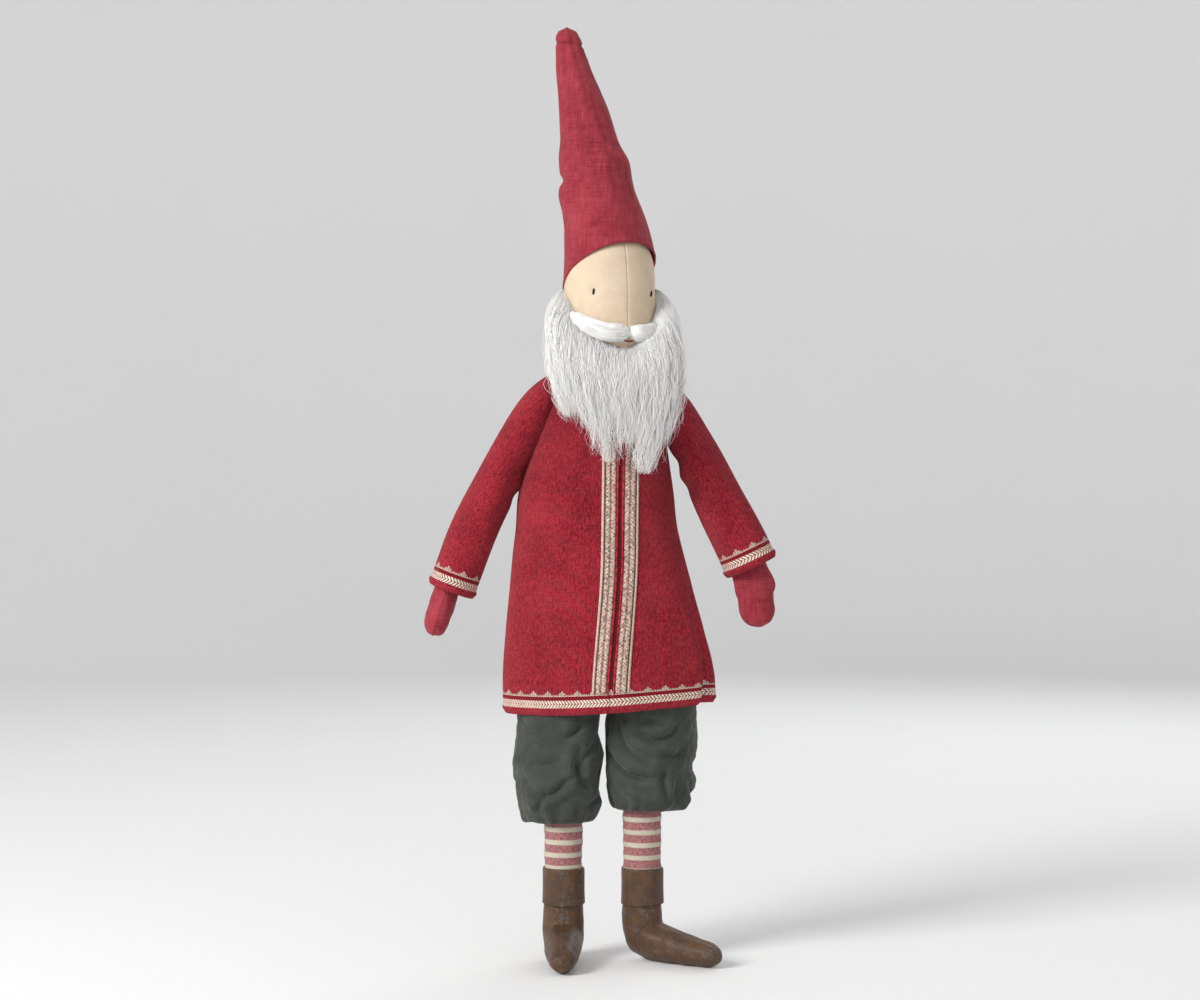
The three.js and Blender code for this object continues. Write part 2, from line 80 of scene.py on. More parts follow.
class Value:
    """A number socket that can be used in ordinary sums."""

    def __init__(self, shade, socket):
        self.shade = shade
        self.socket = socket

    def op(self, operation, *others):
        node = self.shade.node("ShaderNodeMath", operation=operation)
        for socket, value in zip(node.inputs, (self, *others)):
            self.shade.feed(socket, value)
        return Value(self.shade, node.outputs[0])

    def __add__(self, other):
        return self.op("ADD", other)

    def __sub__(self, other):
        return self.op("SUBTRACT", other)

    def __mul__(self, other):
        return self.op("MULTIPLY", other)

    def __truediv__(self, other):
        return self.op("DIVIDE", other)

    def __mod__(self, other):
        return self.op("FLOORED_MODULO", other)

    def __abs__(self):
        return self.op("ABSOLUTE")

    def power(self, other):
        return self.op("POWER", other)

    def floor(self):
        return self.op("FLOOR")

    def sine(self):
        return self.op("SINE")

    def below(self, other):
        return self.op("LESS_THAN", other)

    def above(self, other):
        return self.op("GREATER_THAN", other)

    def clamp(self):
        return self.op("MINIMUM", 1.0).op("MAXIMUM", 0.0)

    def ramp(self, low, high, first=0.0, last=1.0):
        """Goes smoothly from first to last between low and high."""
        node = self.shade.node("ShaderNodeMapRange", interpolation_type="SMOOTHSTEP")
        for socket, value in zip(node.inputs, (self, low, high, first, last)):
            self.shade.feed(socket, value)
        return Value(self.shade, node.outputs[0])

    def within(self, low, high, edge=0.25):
        return self.ramp(low - edge, low + edge) * self.ramp(high - edge, high + edge, 1.0, 0.0)


class Shade:
    """A procedural material under construction."""

    def __init__(self, name, roughness=0.9, sheen=0.0, sheen_tint=(1, 1, 1), specular=0.3):
        self.material = bpy.data.materials.new(name)
        self.material.use_nodes = True
        self.tree = self.material.node_tree
        self.tree.nodes.clear()
        self.bsdf = self.node("ShaderNodeBsdfPrincipled")
        output = self.node("ShaderNodeOutputMaterial")
        self.tree.links.new(self.bsdf.outputs[0], output.inputs[0])
        self.bsdf.inputs["Roughness"].default_value = roughness
        self.bsdf.inputs["Specular IOR Level"].default_value = specular
        self.bsdf.inputs["Sheen Weight"].default_value = sheen
        self.bsdf.inputs["Sheen Roughness"].default_value = 0.4
        self.bsdf.inputs["Sheen Tint"].default_value = (*sheen_tint, 1)
        coordinates = self.node("ShaderNodeTexCoord")
        self.place = coordinates.outputs["Object"]
        self.across, self.along = self.parts(coordinates.outputs["UV"])[:2]

    def node(self, kind, **settings):
        made = self.tree.nodes.new(kind)
        for key, value in settings.items():
            setattr(made, key, value)
        return made

    def feed(self, socket, value):
        if isinstance(value, Value):
            value = value.socket
        if isinstance(value, bpy.types.NodeSocket):
            self.tree.links.new(value, socket)
        elif isinstance(value, (tuple, list)) and socket.type == "RGBA":
            socket.default_value = (*value, 1)
        else:
            socket.default_value = value

    def parts(self, vector):
        """The three numbers of a vector socket."""
        node = self.node("ShaderNodeSeparateXYZ")
        self.feed(node.inputs[0], vector)
        return [Value(self, out) for out in node.outputs]

    def millimetres(self):
        """The place on the piece in doll millimetres."""
        return [part * (1 / MM) for part in self.parts(self.place)]

    def vector(self, x, y, z=0.0):
        node = self.node("ShaderNodeCombineXYZ")
        for socket, value in zip(node.inputs, (x, y, z)):
            self.feed(socket, value)
        return node.outputs[0]

    def noise(self, size, detail=2.0, roughness=0.55, at=None):
        """Smooth noise from 0 to 1, about 0.5, with lumps of a size in millimetres."""
        node = self.node("ShaderNodeTexNoise")
        self.feed(node.inputs["Vector"], self.place if at is None else at)
        node.inputs["Scale"].default_value = 1 / (size * (MM if at is None else 1))
        node.inputs["Detail"].default_value = detail
        node.inputs["Roughness"].default_value = roughness
        return Value(self, node.outputs[0])

    def mix(self, share, first, second):
        """The first colour where share is 0, the second where it is 1."""
        node = self.node("ShaderNodeMix", data_type="RGBA")
        self.feed(node.inputs[0], share)
        self.feed(node.inputs[6], first)
        self.feed(node.inputs[7], second)
        return node.outputs[2]

    def dim(self, colour, brightness):
        """The colour times a number, 1 leaving it as it is."""
        node = self.node("ShaderNodeVectorMath", operation="SCALE")
        self.feed(node.inputs[0], colour)
        self.feed(node.inputs["Scale"], brightness)
        return node.outputs[0]

    def finish(self, colour, height=None, depth=0.3, strength=1.0, roughness=None):
        """Ends the material: colour, relief of a depth in millimetres, and roughness."""
        self.feed(self.bsdf.inputs["Base Color"], colour)
        if height is not None:
            bump = self.node("ShaderNodeBump")
            bump.inputs["Strength"].default_value = strength
            bump.inputs["Distance"].default_value = depth * MM
            self.feed(bump.inputs["Height"], height)
            self.feed(self.bsdf.inputs["Normal"], bump.outputs[0])
        if roughness is not None:
            self.feed(self.bsdf.inputs["Roughness"], roughness)
        return self.material


def rgb(code):
    """A colour written as six hexadecimal digits, as linear light."""
    parts = [int(code[i : i + 2], 16) / 255 for i in (0, 2, 4)]
    return tuple(c / 12.92 if c <= 0.04045 else ((c + 0.055) / 1.055) ** 2.4 for c in parts)


# ---------------------------------------------------------------- materials


def stitches(across, along, wale=WALE, course=COURSE):
    """The relief of plain knitting, from 0 in the grooves to 1 on the yarn."""
    side = abs((across / wale) % 1.0 - 0.5)
    leg = (abs(side - 0.25) * 4).power(2.0) * -1 + 1.0
    leg = leg.op("MAXIMUM", side.below(0.25) * 0.6)
    row = ((along / course + side * 1.2) * np.pi).sine()
    return leg * (abs(row).power(0.6) * 0.6 + 0.4)


def marled(shade, across, along, light, dark):
    """Yarn spun of a light and a dark strand."""
    speck = shade.noise(1.0, 3.0, 0.7, shade.vector(across / 1.3, along / 0.9))
    slow = shade.noise(1.0, 2.0, 0.5, shade.vector(across / 5, along / 14, 3.0))
    return shade.mix((speck + slow * 0.25).ramp(0.6, 0.8), rgb(light), rgb(dark))


def knit(name, border=True, front=False):
    """Red machine knit. Its border is a rolled edge, a pale band, a red line and small crowns."""
    shade = Shade(name, roughness=0.95, sheen=0.25, sheen_tint=rgb("E09090"), specular=0.12)
    across, along = shade.across, shade.along
    height = stitches(across, along)
    fuzz = shade.noise(1.0, 3.0, 0.7)
    heather = shade.noise(1.6, 3.0, 0.75)
    ladder = shade.noise(1.0, 2.0, 0.6, shade.vector(across / 1.5, along / 4))
    cloud = shade.noise(28, 2.0)
    tone = heather * 0.4 + ladder * 0.4 + cloud * 0.2
    red = shade.mix(tone.ramp(0.37, 0.63), rgb("7E1424"), rgb("BC3542"))
    if front:
        # Painted shade: near black down the line where the two fronts meet, for the shadow in the gap between
        # them, darkest in the holes of the ladder stitch.
        edge = abs(across - REPEAT / 2).below(1.3) * along.above(14.0)
        ladder_hole_shade = abs((along * (np.pi / 1.9)).sine()).below(0.75)
        red = shade.mix(edge * (ladder_hole_shade * 0.4 + 0.5), red, rgb("2E0A10"))
    if border:
        column = (across / WALE).floor() % 7.0
        peak = (abs(column - 3.0) * -1 + 3.0).op("MAXIMUM", 1.0)
        side = abs((across / WALE) % 1.0 - 0.5)
        step = ((along - 12.4) / COURSE + side * 0.8).floor()
        pale = along.above(12.2) * step.below(peak)
        band = along.within(4.0, 9.4)
        chain = abs(((across / 2.3 + abs(along - 6.7) * 0.36) * np.pi).sine()).power(0.7)
        beige = marled(shade, across, along, "D2BDAE", "9A7468")
        # Painted shade: the low places of the chain and the line down its middle are darkened towards brown.
        dark = (chain.below(0.68) + abs(along - 6.7).below(0.3)).clamp() * band * 0.55
        beige = shade.mix(dark, beige, rgb("7A4C48"))
        # Painted shade: the red line between the pale band and the crowns is made a darker red.
        red = shade.mix(along.within(9.6, 12.0), red, rgb("8A1626"))
        red = shade.mix((pale + band).clamp(), red, beige)
        height = height + (chain - height) * band
    # Painted shade: the knitting is darker in the grooves between stitches; the fuzz adds random tone.
    colour = shade.dim(red, height * 1.6 + fuzz * 0.5 - 0.26)
    return shade.finish(colour, height + fuzz * 0.35, 0.8, 1.0)


def trim_braid():
    """Beige marled braid: an edge column, a groove darkened with painted shade and one large column of Vs."""
    shade = Shade("beige_trim", roughness=0.95, sheen=0.2, specular=0.15)
    across, along = shade.across, shade.along
    side = abs(across - 6.6)
    arm = (abs(side / 3.9 - 0.5) * 2).power(2.0) * -1 + 1.0
    vee = abs(((along / 2.7 + side * 0.36) * np.pi).sine()).power(0.5)
    edge = stitches(across + 0.6, along, 2.6, 2.3)
    is_edge = across.ramp(2.1, 2.5, 1.0, 0.0)
    height = arm * vee * (is_edge * -1 + 1.0) + edge * is_edge
    speck = shade.noise(1.7, 2.0, 0.6)
    pink = shade.noise(2.6, 2.0)
    colour = shade.mix(pink.ramp(0.4, 0.6), rgb("D4C0AE"), rgb("CFA89C"))
    colour = shade.mix(speck.ramp(0.48, 0.62) * (is_edge * -0.8 + 0.9), colour, rgb("87675C"))
    # Painted shade: the groove between the edge column and the Vs is darkened towards brown.
    groove = across.within(2.1, 2.9, 0.2)
    colour = shade.mix(groove * 0.75, colour, rgb("4E3A3A"))
    # Painted shade: the braid is darker in the grooves between its Vs and stitches.
    colour = shade.dim(colour, height * 0.85 + 0.42)
    return shade.finish(colour, height + speck * 0.3, 0.8, 0.9)


def band_zigzag():
    """The neckband: a beige zigzag on red."""
    shade = Shade("neck_zigzag", roughness=0.95, sheen=0.25, specular=0.15)
    across, along = shade.across, shade.along
    height = stitches(across, along)
    wave = abs((across / REPEAT) % 1.0 - 0.5) * 9
    line = abs(along - wave - 2.4).below(1.5)
    beige = marled(shade, across, along, "DCC3B2", "9A6E62")
    colour = shade.mix(line, rgb("A3222F"), beige)
    fuzz = shade.noise(1.1, 3.0, 0.7)
    # Painted shade: the band is darker in the grooves between stitches; the fuzz adds random tone.
    colour = shade.dim(colour, height * 0.5 + fuzz * 0.4 + 0.48)
    return shade.finish(colour, height + fuzz * 0.3, 0.55, 0.85)


def weave(across, along, pitch):
    """The relief of plain weave, with threads that go over and under."""
    a = across * (np.pi / pitch)
    b = along * (np.pi / pitch)
    over = (a.sine() * b.sine()).above(0.0)
    warp = abs((a + np.pi / 2).sine()).power(0.7)
    weft = abs((b + np.pi / 2).sine()).power(0.7)
    return warp * over + weft * (over * -1 + 1.0)


def linen(name, axis=None):
    """Washed linen: plain weave with slubs, and lighter threads among darker ones.

    The threads follow the cloth's own coordinates, or else the piece's axis 0 or 1 and its height.
    """
    shade = Shade(name, roughness=0.85, sheen=0.15, sheen_tint=rgb("F2B0B0"), specular=0.2)
    if axis is None:
        across, along = shade.across, shade.along
    else:
        place = shade.millimetres()
        across, along = place[axis], place[2]
    height = weave(across, along, 0.62)
    slub_up = shade.noise(1.0, 3.0, 0.65, shade.vector(across / 0.9, along / 18))
    slub_side = shade.noise(1.0, 3.0, 0.65, shade.vector(across / 18, along / 0.9, 7.0))
    worn = shade.noise(7, 4.0, 0.65)
    cloud = shade.noise(30, 3.0)
    tone = slub_up * 0.36 + slub_side * 0.36 + worn * 0.3 + cloud * 0.3
    colour = shade.mix(tone.ramp(0.46, 0.9), rgb("7C1B27"), rgb("B04450"))
    # Painted shade: the linen is darker where its threads dip under each other.
    colour = shade.dim(colour, height * 0.35 + 0.8)
    pucker = shade.noise(1.0, 3.0, 0.6, shade.vector(across / 6, along / 22, 11.0))
    relief = height * 0.5 + slub_up * 0.8 + slub_side * 0.8 + worn * 2.0 + pucker * 4.0
    return shade.finish(colour, relief, 0.4, 0.85)


def skin():
    """Fine cotton jersey, warm and a little mottled."""
    shade = Shade("cotton_skin", roughness=0.88, sheen=0.1, sheen_tint=rgb("FFF0DD"), specular=0.2)
    across, along, up = shade.millimetres()
    fine = weave(across + along * 0.6, up, 0.45)
    mottle = shade.noise(9, 3.0) * 0.6 + shade.noise(2.2, 3.0, 0.7) * 0.4
    colour = shade.mix(mottle.ramp(0.25, 0.75), rgb("CDB89F"), rgb("D8C5AC"))
    blush = shade.noise(26, 1.0).ramp(0.5, 0.8)
    colour = shade.mix(blush * 0.2, colour, rgb("DDBC9C"))
    # Painted shade: the jersey is a little darker in the grooves of its fine weave.
    colour = shade.dim(colour, fine * 0.1 + 0.93)
    relief = fine * 0.35 + shade.noise(3.5, 3.0) * 0.5
    return shade.finish(colour, relief, 0.16, 0.7)


def velvet():
    """Brushed grey-green cotton: a short nap with dusty, rubbed patches."""
    shade = Shade("grey_velvet", roughness=0.95, sheen=0.5, sheen_tint=rgb("A8A9A0"), specular=0.1)
    nap = shade.noise(1.0, 3.0, 0.7, shade.vector(shade.across / 1.0, shade.along / 4))
    patch = shade.noise(16, 4.0, 0.62)
    rubbed = shade.noise(1.0, 4.0, 0.7, shade.vector(shade.across / 5, shade.along / 1.8, 5.0))
    grain = shade.noise(1.2, 3.0, 0.7)
    colour = shade.mix(patch.ramp(0.15, 0.85), rgb("3A3D39"), rgb("4B4D48"))
    colour = shade.mix(rubbed.ramp(0.58, 0.8) * 0.3, colour, rgb("83847A"))
    colour = shade.dim(colour, nap * 0.5 + grain * 0.6 + 0.45)
    return shade.finish(colour, nap * 1.0 + rubbed * 1.0 + grain * 0.6, 0.4, 0.8)


def stripes():
    """Red chambray with woven cream bands. A stocking's height is the second coordinate."""
    shade = Shade("striped_cotton", roughness=0.9, sheen=0.1, specular=0.2)
    across, along = shade.across, shade.along
    height = weave(across, along, 0.6)
    thread = shade.noise(1.0, 3.0, 0.7, shade.vector(across / 3, along / 0.7))
    thread_up = shade.noise(1.0, 3.0, 0.7, shade.vector(across / 0.7, along / 3, 2.0))
    mottle = thread * 0.5 + thread_up * 0.5
    red = shade.mix(mottle.ramp(0.38, 0.62), rgb("8E4A50"), rgb("B98A86"))
    cream = shade.mix(mottle.ramp(0.3, 0.7), rgb("C2B8A2"), rgb("D8D0BF"))
    wobble = shade.noise(7, 2.0) * 0.5 - 0.25
    place = ((along + wobble) / STRIPE_PITCH) % 1.0
    band = place.within(0.0, STRIPE_SHARE, 0.03) + place.ramp(0.97, 1.0)
    colour = shade.mix(band.clamp(), red, cream)
    # Painted shade: the cotton is darker where its threads dip under each other.
    colour = shade.dim(colour, height * 0.25 + 0.85)
    return shade.finish(colour, height + mottle, 0.3, 0.8)


def leather():
    """Worn brown imitation leather: grain, rust-coloured rubbed places and patches of painted grey sheen."""
    shade = Shade("brown_leather", roughness=0.5, specular=0.4)
    shade.bsdf.inputs["Coat Weight"].default_value = 0.12
    shade.bsdf.inputs["Coat Roughness"].default_value = 0.35
    grain = shade.node("ShaderNodeTexVoronoi", feature="DISTANCE_TO_EDGE")
    shade.feed(grain.inputs["Vector"], shade.place)
    grain.inputs["Scale"].default_value = 1 / (1.2 * MM)
    cells = Value(shade, grain.outputs["Distance"]).ramp(0.0, 0.25)
    wear = shade.noise(11, 6.0, 0.7)
    sheen_noise = shade.noise(13, 5.0, 0.7)
    fleck = shade.noise(1.6, 5.0, 0.75)
    colour = shade.mix(wear.ramp(0.35, 0.7), rgb("4A3220"), rgb("654425"))
    colour = shade.mix(fleck.ramp(0.54, 0.72) * 0.5, colour, rgb("7E4E27"))
    # Painted sheen: grey patches, where the two noises meet, stand for the leather's waxy sheen.
    dusty = sheen_noise.ramp(0.5, 0.62) * fleck.ramp(0.46, 0.56)
    colour = shade.mix(dusty * 0.45, colour, rgb("6F7174"))
    colour = shade.dim(colour, cells * 0.25 + fleck * 0.35 + 0.62)
    relief = cells * 0.8 + fleck * 1.0 + wear * 1.0
    roughness = (wear * 0.3 + sheen_noise * 0.25 + 0.22).clamp()
    return shade.finish(colour, relief, 0.3, 0.85, roughness)


def wool(name, grooves):
    """Carded white wool. The first coordinate goes across the locks and the second along them."""
    shade = Shade(name, roughness=0.9, sheen=1.0, specular=0.2)
    shade.bsdf.inputs["Subsurface Weight"].default_value = 0.3
    shade.bsdf.inputs["Subsurface Radius"].default_value = (0.004, 0.0037, 0.0034)
    streak = shade.noise(1.0, 4.0, 0.65, shade.vector(shade.across / 0.7, shade.along / 40))
    lock = shade.noise(1.0, 3.0, 0.6, shade.vector(shade.across / 5, shade.along / 60, 4.0))
    colour = shade.mix(streak.ramp(0.2, 0.5), rgb("F4F2EE"), rgb("FFFEFC"))
    # Painted shade: the wool turns grey in the low places between locks.
    colour = shade.mix(lock.ramp(0.55, 0.35) * grooves, colour, rgb("D8D6D1"))
    return shade.finish(colour, streak * 1.0 + lock * 1.5, 0.6, 0.8)


def thread(name, code):
    """A twisted thread. Its first coordinate is the turn round it, and it has two close tones."""
    shade = Shade(name, roughness=0.7, specular=0.3)
    twist = abs(((shade.along * 1.6 + shade.across * 0.8) * np.pi).sine())
    fuzz = shade.noise(0.6, 2.0)
    lighter = tuple(min(1.0, part * 1.5 + 0.004) for part in rgb(code))
    colour = shade.mix(shade.noise(1.5, 2.0), rgb(code), lighter)
    # Painted shade: the thread is darker in the grooves between its twisted plies; the fuzz adds random tone.
    colour = shade.dim(colour, twist * 0.5 + fuzz * 0.4 + 0.45)
    return shade.finish(colour, twist, 0.2, 0.8)


def wadding():
    """Loose polyester filling."""
    shade = Shade("fibre_filling", roughness=0.95, sheen=0.3, specular=0.2)
    lump = shade.noise(5, 5.0, 0.7)
    colour = shade.mix(lump.ramp(0.3, 0.7), rgb("D8D5CB"), rgb("F3F1EA"))
    return shade.finish(colour, lump, 1.5, 0.9)


def elastic_web():
    """Flat white elastic with fine ribs round it."""
    shade = Shade("elastic", roughness=0.8, sheen=0.2)
    rib = abs((shade.millimetres()[2] * (np.pi / 0.9)).sine())
    # Painted shade: the elastic is darker in the grooves between its ribs.
    colour = shade.mix(rib, rgb("B9B4A8"), rgb("EAE7DF"))
    return shade.finish(colour, rib, 0.3, 0.8)


def ballast_cloth():
    """Coarse unbleached calico of the ballast bags."""
    shade = Shade("ballast", roughness=0.92, sheen=0.2)
    place = shade.millimetres()
    height = weave(place[0], place[1], 0.9)
    colour = shade.mix(shade.noise(3, 4.0), rgb("7F7563"), rgb("A99F8C"))
    # Painted shade: the calico is darker where its threads dip under each other.
    return shade.finish(shade.dim(colour, height * 0.3 + 0.8), height, 0.3, 0.8)


LOOKS = {
    "red_knit": knit("red_knit"),
    "front_knit": knit("front_knit", front=True),
    "plain_knit": knit("plain_knit", border=False),
    "beige_trim": trim_braid(),
    "neck_zigzag": band_zigzag(),
    "red_linen": linen("red_linen"),
    "mitten_front": linen("mitten_linen_x", axis=0),
    "mitten_side": linen("mitten_linen_y", axis=1),
    "cotton_skin": skin(),
    "grey_velvet": velvet(),
    "striped_cotton": stripes(),
    "brown_leather": leather(),
    "white_wool": wool("white_wool", grooves=0.5),
    "combed_wool": wool("combed_wool", grooves=0.15),
    "black_thread": thread("black_thread", "1A1616"),
    "dark_red_thread": thread("dark_red_thread", "8A2028"),
    "fibre_filling": wadding(),
    "elastic": elastic_web(),
    "ballast": ballast_cloth(),
}

# ---------------------------------------------------------------- meshes


def make(name, points, faces, uvs, look, slot=None):
    """A smooth mesh object. uvs has one pair for each corner of each face, in order."""
    points = np.asarray(points, float) * MM
    points[:, 1] += AXIS_Y * MM
    mesh = bpy.data.meshes.new(name)
    mesh.from_pydata(points.tolist(), [], [list(map(int, face)) for face in faces])
    layer = mesh.uv_layers.new(name="cloth")
    layer.data.foreach_set("uv", np.asarray(uvs, np.float32).ravel())
    mesh.materials.append(LOOKS[look])
    mesh.shade_smooth()
    piece = bpy.data.objects.new(name, mesh)
    bpy.context.scene.collection.objects.link(piece)
    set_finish(piece, slot or look)
    return piece


def settle(piece, body, *nodes, fill=None):
    """The piece rides on a body and stands for CAD nodes. fill is not used."""
    if nodes:
        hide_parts(*nodes)
    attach(piece, body)


def surface(name, grid, uv, look, closed=False, caps="", slot=None):
    """A mesh over rows and columns of points, facing outwards from the middle of its rows.

    A closed grid repeats its first column last. caps says which end rows are filled in.
    """
    facing = np.cross(np.diff(grid, axis=0)[:, :-1], np.diff(grid, axis=1)[:-1])
    outward = (grid - grid.mean(axis=1, keepdims=True))[:-1, :-1]
    if (facing * outward).sum() > 0:
        grid, uv = grid[::-1], uv[::-1]
        caps = caps.replace("start", "first").replace("end", "start").replace("first", "end")
    rows, columns = grid.shape[:2]
    ring = columns - 1 if closed else columns
    i, j = np.meshgrid(np.arange(rows - 1), np.arange(columns - 1), indexing="ij")
    corners = [(i, j), (i, j + 1), (i + 1, j + 1), (i + 1, j)]
    faces = np.stack([a * ring + b % ring for a, b in corners], -1).reshape(-1, 4).tolist()
    uvs = np.stack([uv[a, b] for a, b in corners], -2).reshape(-1, 2).tolist()
    for end, row in (("start", 0), ("end", rows - 1)):
        if end in caps:
            order = range(ring) if end == "end" else range(ring - 1, -1, -1)
            faces.append([row * ring + k for k in order])
            uvs += [uv[row, k].tolist() for k in order]
    return make(name, grid[:, :ring].reshape(-1, 3), faces, uvs, look, slot)


def catmull_rom(share, a, b, c, d):
    """The curve through b and c at a share of the way between them."""
    cubic = 3 * (b - c) + d - a
    return b + 0.5 * share * (c - a + share * (2 * a - 5 * b + 4 * c - d + share * cubic))


def smooth(table, shares):
    """Rows of a table at shares of its length, on a Catmull-Rom curve through them."""
    rows = np.asarray(table, float)
    x = np.clip(shares, 0, 1) * (len(rows) - 1)
    i = np.clip(x.astype(int), 0, len(rows) - 2)
    f = (x - i).reshape(-1, *[1] * (rows.ndim - 1))
    return catmull_rom(f, *(rows[np.clip(i + k, 0, len(rows) - 1)] for k in (-1, 0, 1, 2)))


def section_at(table, z):
    """The sections of a table [x, y, z, half width, half depth] at given heights."""
    rows = np.asarray(table, float)
    if rows[0, 2] > rows[-1, 2]:
        rows = rows[::-1]
    shares = np.interp(np.ravel(z), rows[:, 2], np.linspace(0, 1, len(rows)))
    return smooth(rows, shares).reshape(*np.shape(z), rows.shape[1])


def run_length(points):
    """The length along a line of points, at each of them."""
    return np.r_[0, np.cumsum(np.linalg.norm(np.diff(points, axis=0), axis=1))]


def pairs(across, along):
    """Two cloth coordinates for each place of a grid."""
    return np.stack(np.broadcast_arrays(across, along), -1)


def even(table, count):
    """The smooth table at even steps along the curve of its first three columns."""
    fine = np.linspace(0, 1, 400)
    length = run_length(smooth(table, fine)[:, :3])
    return smooth(table, np.interp(np.linspace(0, length[-1], count), length, fine))


def unit(vectors):
    return vectors / np.linalg.norm(vectors, axis=-1, keepdims=True)


def ease(x, low, high):
    """0 below low and 1 above high, smoothly."""
    t = np.clip((x - low) / (high - low), 0, 1)
    return t * t * (3 - 2 * t)


def hump(x, middle, width):
    return np.exp(-(((x - middle) / width) ** 2))


def turn_gap(a, b):
    """The signed angle from b to a, from -pi to pi."""
    return (a - b + np.pi) % TAU - np.pi


def ripple(points, size, seed):
    """Smooth unevenness from about -1 to 1 over points in millimetres."""
    draw = np.random.default_rng(seed)
    total = np.zeros(points.shape[:-1])
    for _ in range(9):
        way = unit(draw.normal(size=3)) * TAU / (size * draw.uniform(0.7, 1.7))
        total += np.sin(points @ way + draw.uniform(0, TAU))
    return total / 4


def tube_grid(sections, rows, around, side=None):
    """Rows of rings through sections [x, y, z, half width, half depth].

    Angle 0 faces the front and a quarter turn is the right. Level rings by default; with a
    side direction they lie at right angles to the spine, and the depth is along that side.
    Returns the points, the outward directions, the angles and the length along the spine.
    """
    line = even(sections, rows)
    centre, width, depth = line[:, :3], line[:, 3], line[:, 4]
    angle = np.linspace(-np.pi, np.pi, around + 1)
    if side is None:
        wide = np.tile([1.0, 0, 0], (rows, 1))
        deep = np.tile([0, 1.0, 0], (rows, 1))
    else:
        deep = np.tile(side, (rows, 1)).astype(float)
        wide = unit(np.cross(np.gradient(centre, axis=0), deep))
    round_it = np.sin(angle)[None, :, None] * wide[:, None] * width[:, None, None]
    round_it = round_it - np.cos(angle)[None, :, None] * deep[:, None] * depth[:, None, None]
    points = centre[:, None] + round_it
    return points, unit(round_it), angle, run_length(centre)


def tube_uv(points, length, repeat=None):
    """Millimetres round and along a tube. The round is a whole number of repeats if given."""
    across = run_length(points[len(points) // 2])
    if repeat:
        across *= max(1, round(across[-1] / repeat)) * repeat / across[-1]
    return pairs(across[None, :], length[:, None])


def use(piece, kind, **settings):
    """Adds a modifier and applies it."""
    modifier = piece.modifiers.new(kind.lower(), kind)
    for key, value in settings.items():
        setattr(modifier, key, value)
    bpy.context.view_layer.objects.active = piece
    bpy.ops.object.modifier_apply(modifier=modifier.name)
    return piece


def thicken(piece, thickness):
    """Gives a cloth surface its thickness, inwards."""
    return use(piece, "SOLIDIFY", thickness=thickness * MM, offset=-1, use_rim=True)


def points_of(piece):
    """A piece's points in doll millimetres."""
    flat = np.zeros(3 * len(piece.data.vertices), np.float32)
    piece.data.vertices.foreach_get("co", flat)
    return flat.reshape(-1, 3).astype(float) / MM - [0, AXIS_Y, 0]


def put_points(piece, points):
    flat = (points + [0, AXIS_Y, 0]) * MM
    piece.data.vertices.foreach_set("co", flat.astype(np.float32).ravel())
    piece.data.update()


def normals_of(piece):
    flat = np.zeros(3 * len(piece.data.vertices), np.float32)
    piece.data.vertex_normals.foreach_get("vector", flat)
    return flat.reshape(-1, 3).astype(float)


def joined(name, forms, voxel, smoothing):
    """One closed skin over several overlapping forms."""
    with bpy.context.temp_override(
        active_object=forms[0], selected_editable_objects=forms, selected_objects=forms
    ):
        bpy.ops.object.join()
    piece = forms[0]
    piece.name = name
    use(piece, "REMESH", mode="VOXEL", voxel_size=voxel * MM)
    use(piece, "SMOOTH", factor=0.5, iterations=smoothing)
    piece.data.shade_smooth()
    return piece


def strands(name, paths, radius, look, seed=1, slot="white_wool"):
    """Thin three-sided fibres. paths is fibres x points x 3, radius is fibres x points."""
    count, steps = paths.shape[:2]
    draw = np.random.default_rng(seed)
    along = unit(np.gradient(paths, axis=1))
    first = unit(np.cross(along, [0.31, 0.9, 0.3]))
    second = np.cross(along, first)
    corner = np.arange(3) * TAU / 3
    round_it = np.cos(corner)[:, None] * first[..., None, :]
    round_it = round_it + np.sin(corner)[:, None] * second[..., None, :]
    points = paths[:, :, None] + radius[..., None, None] * round_it
    f, s, c = np.meshgrid(np.arange(count), np.arange(steps - 1), np.arange(3), indexing="ij")
    base = f * steps * 3
    quads = [base + a * 3 + b % 3 for a, b in ((s, c), (s, c + 1), (s + 1, c + 1), (s + 1, c))]
    faces = np.stack(quads, -1).reshape(-1, 4)
    tone = draw.uniform(0, 60, count)[:, None, None]
    far = np.linspace(0, 50, steps)
    uv = [(tone + 0 * s, far[a]) for a in (s, s, s + 1, s + 1)]
    uvs = np.stack([pairs(*pair) for pair in uv], -2).reshape(-1, 2)
    return make(name, points.reshape(-1, 3), faces, uvs, look, slot)


# ---------------------------------------------------------------- hat

HAT = [
    [7.6, 0.5, 481, 35.4, 36.0],
    [7.6, 1, 500, 34.6, 35.6],
    [7.0, 1, 520, 33.4, 33.6],
    [3.4, 2, 544, 30.6, 30.6],
    [-1.6, 3, 566, 27.8, 27.4],
    [-4.8, 4, 588, 25.4, 24.6],
    [-9.5, 5, 612, 20.6, 20],
    [-15.8, 7, 643, 15.8, 15.6],
    [-20.8, 8, 664, 11.6, 11.4],
    [-23.2, 8, 676, 9.4, 9.4],
    [-24.2, 8, 684.5, 6.8, 6.8],
    [-24.5, 8, 688, 0.4, 0.4],
]


def hat_rim(x, y):
    """The height of the hat's edge over a place seen from above."""
    return 503 + 0.33 * x - 0.53 * y


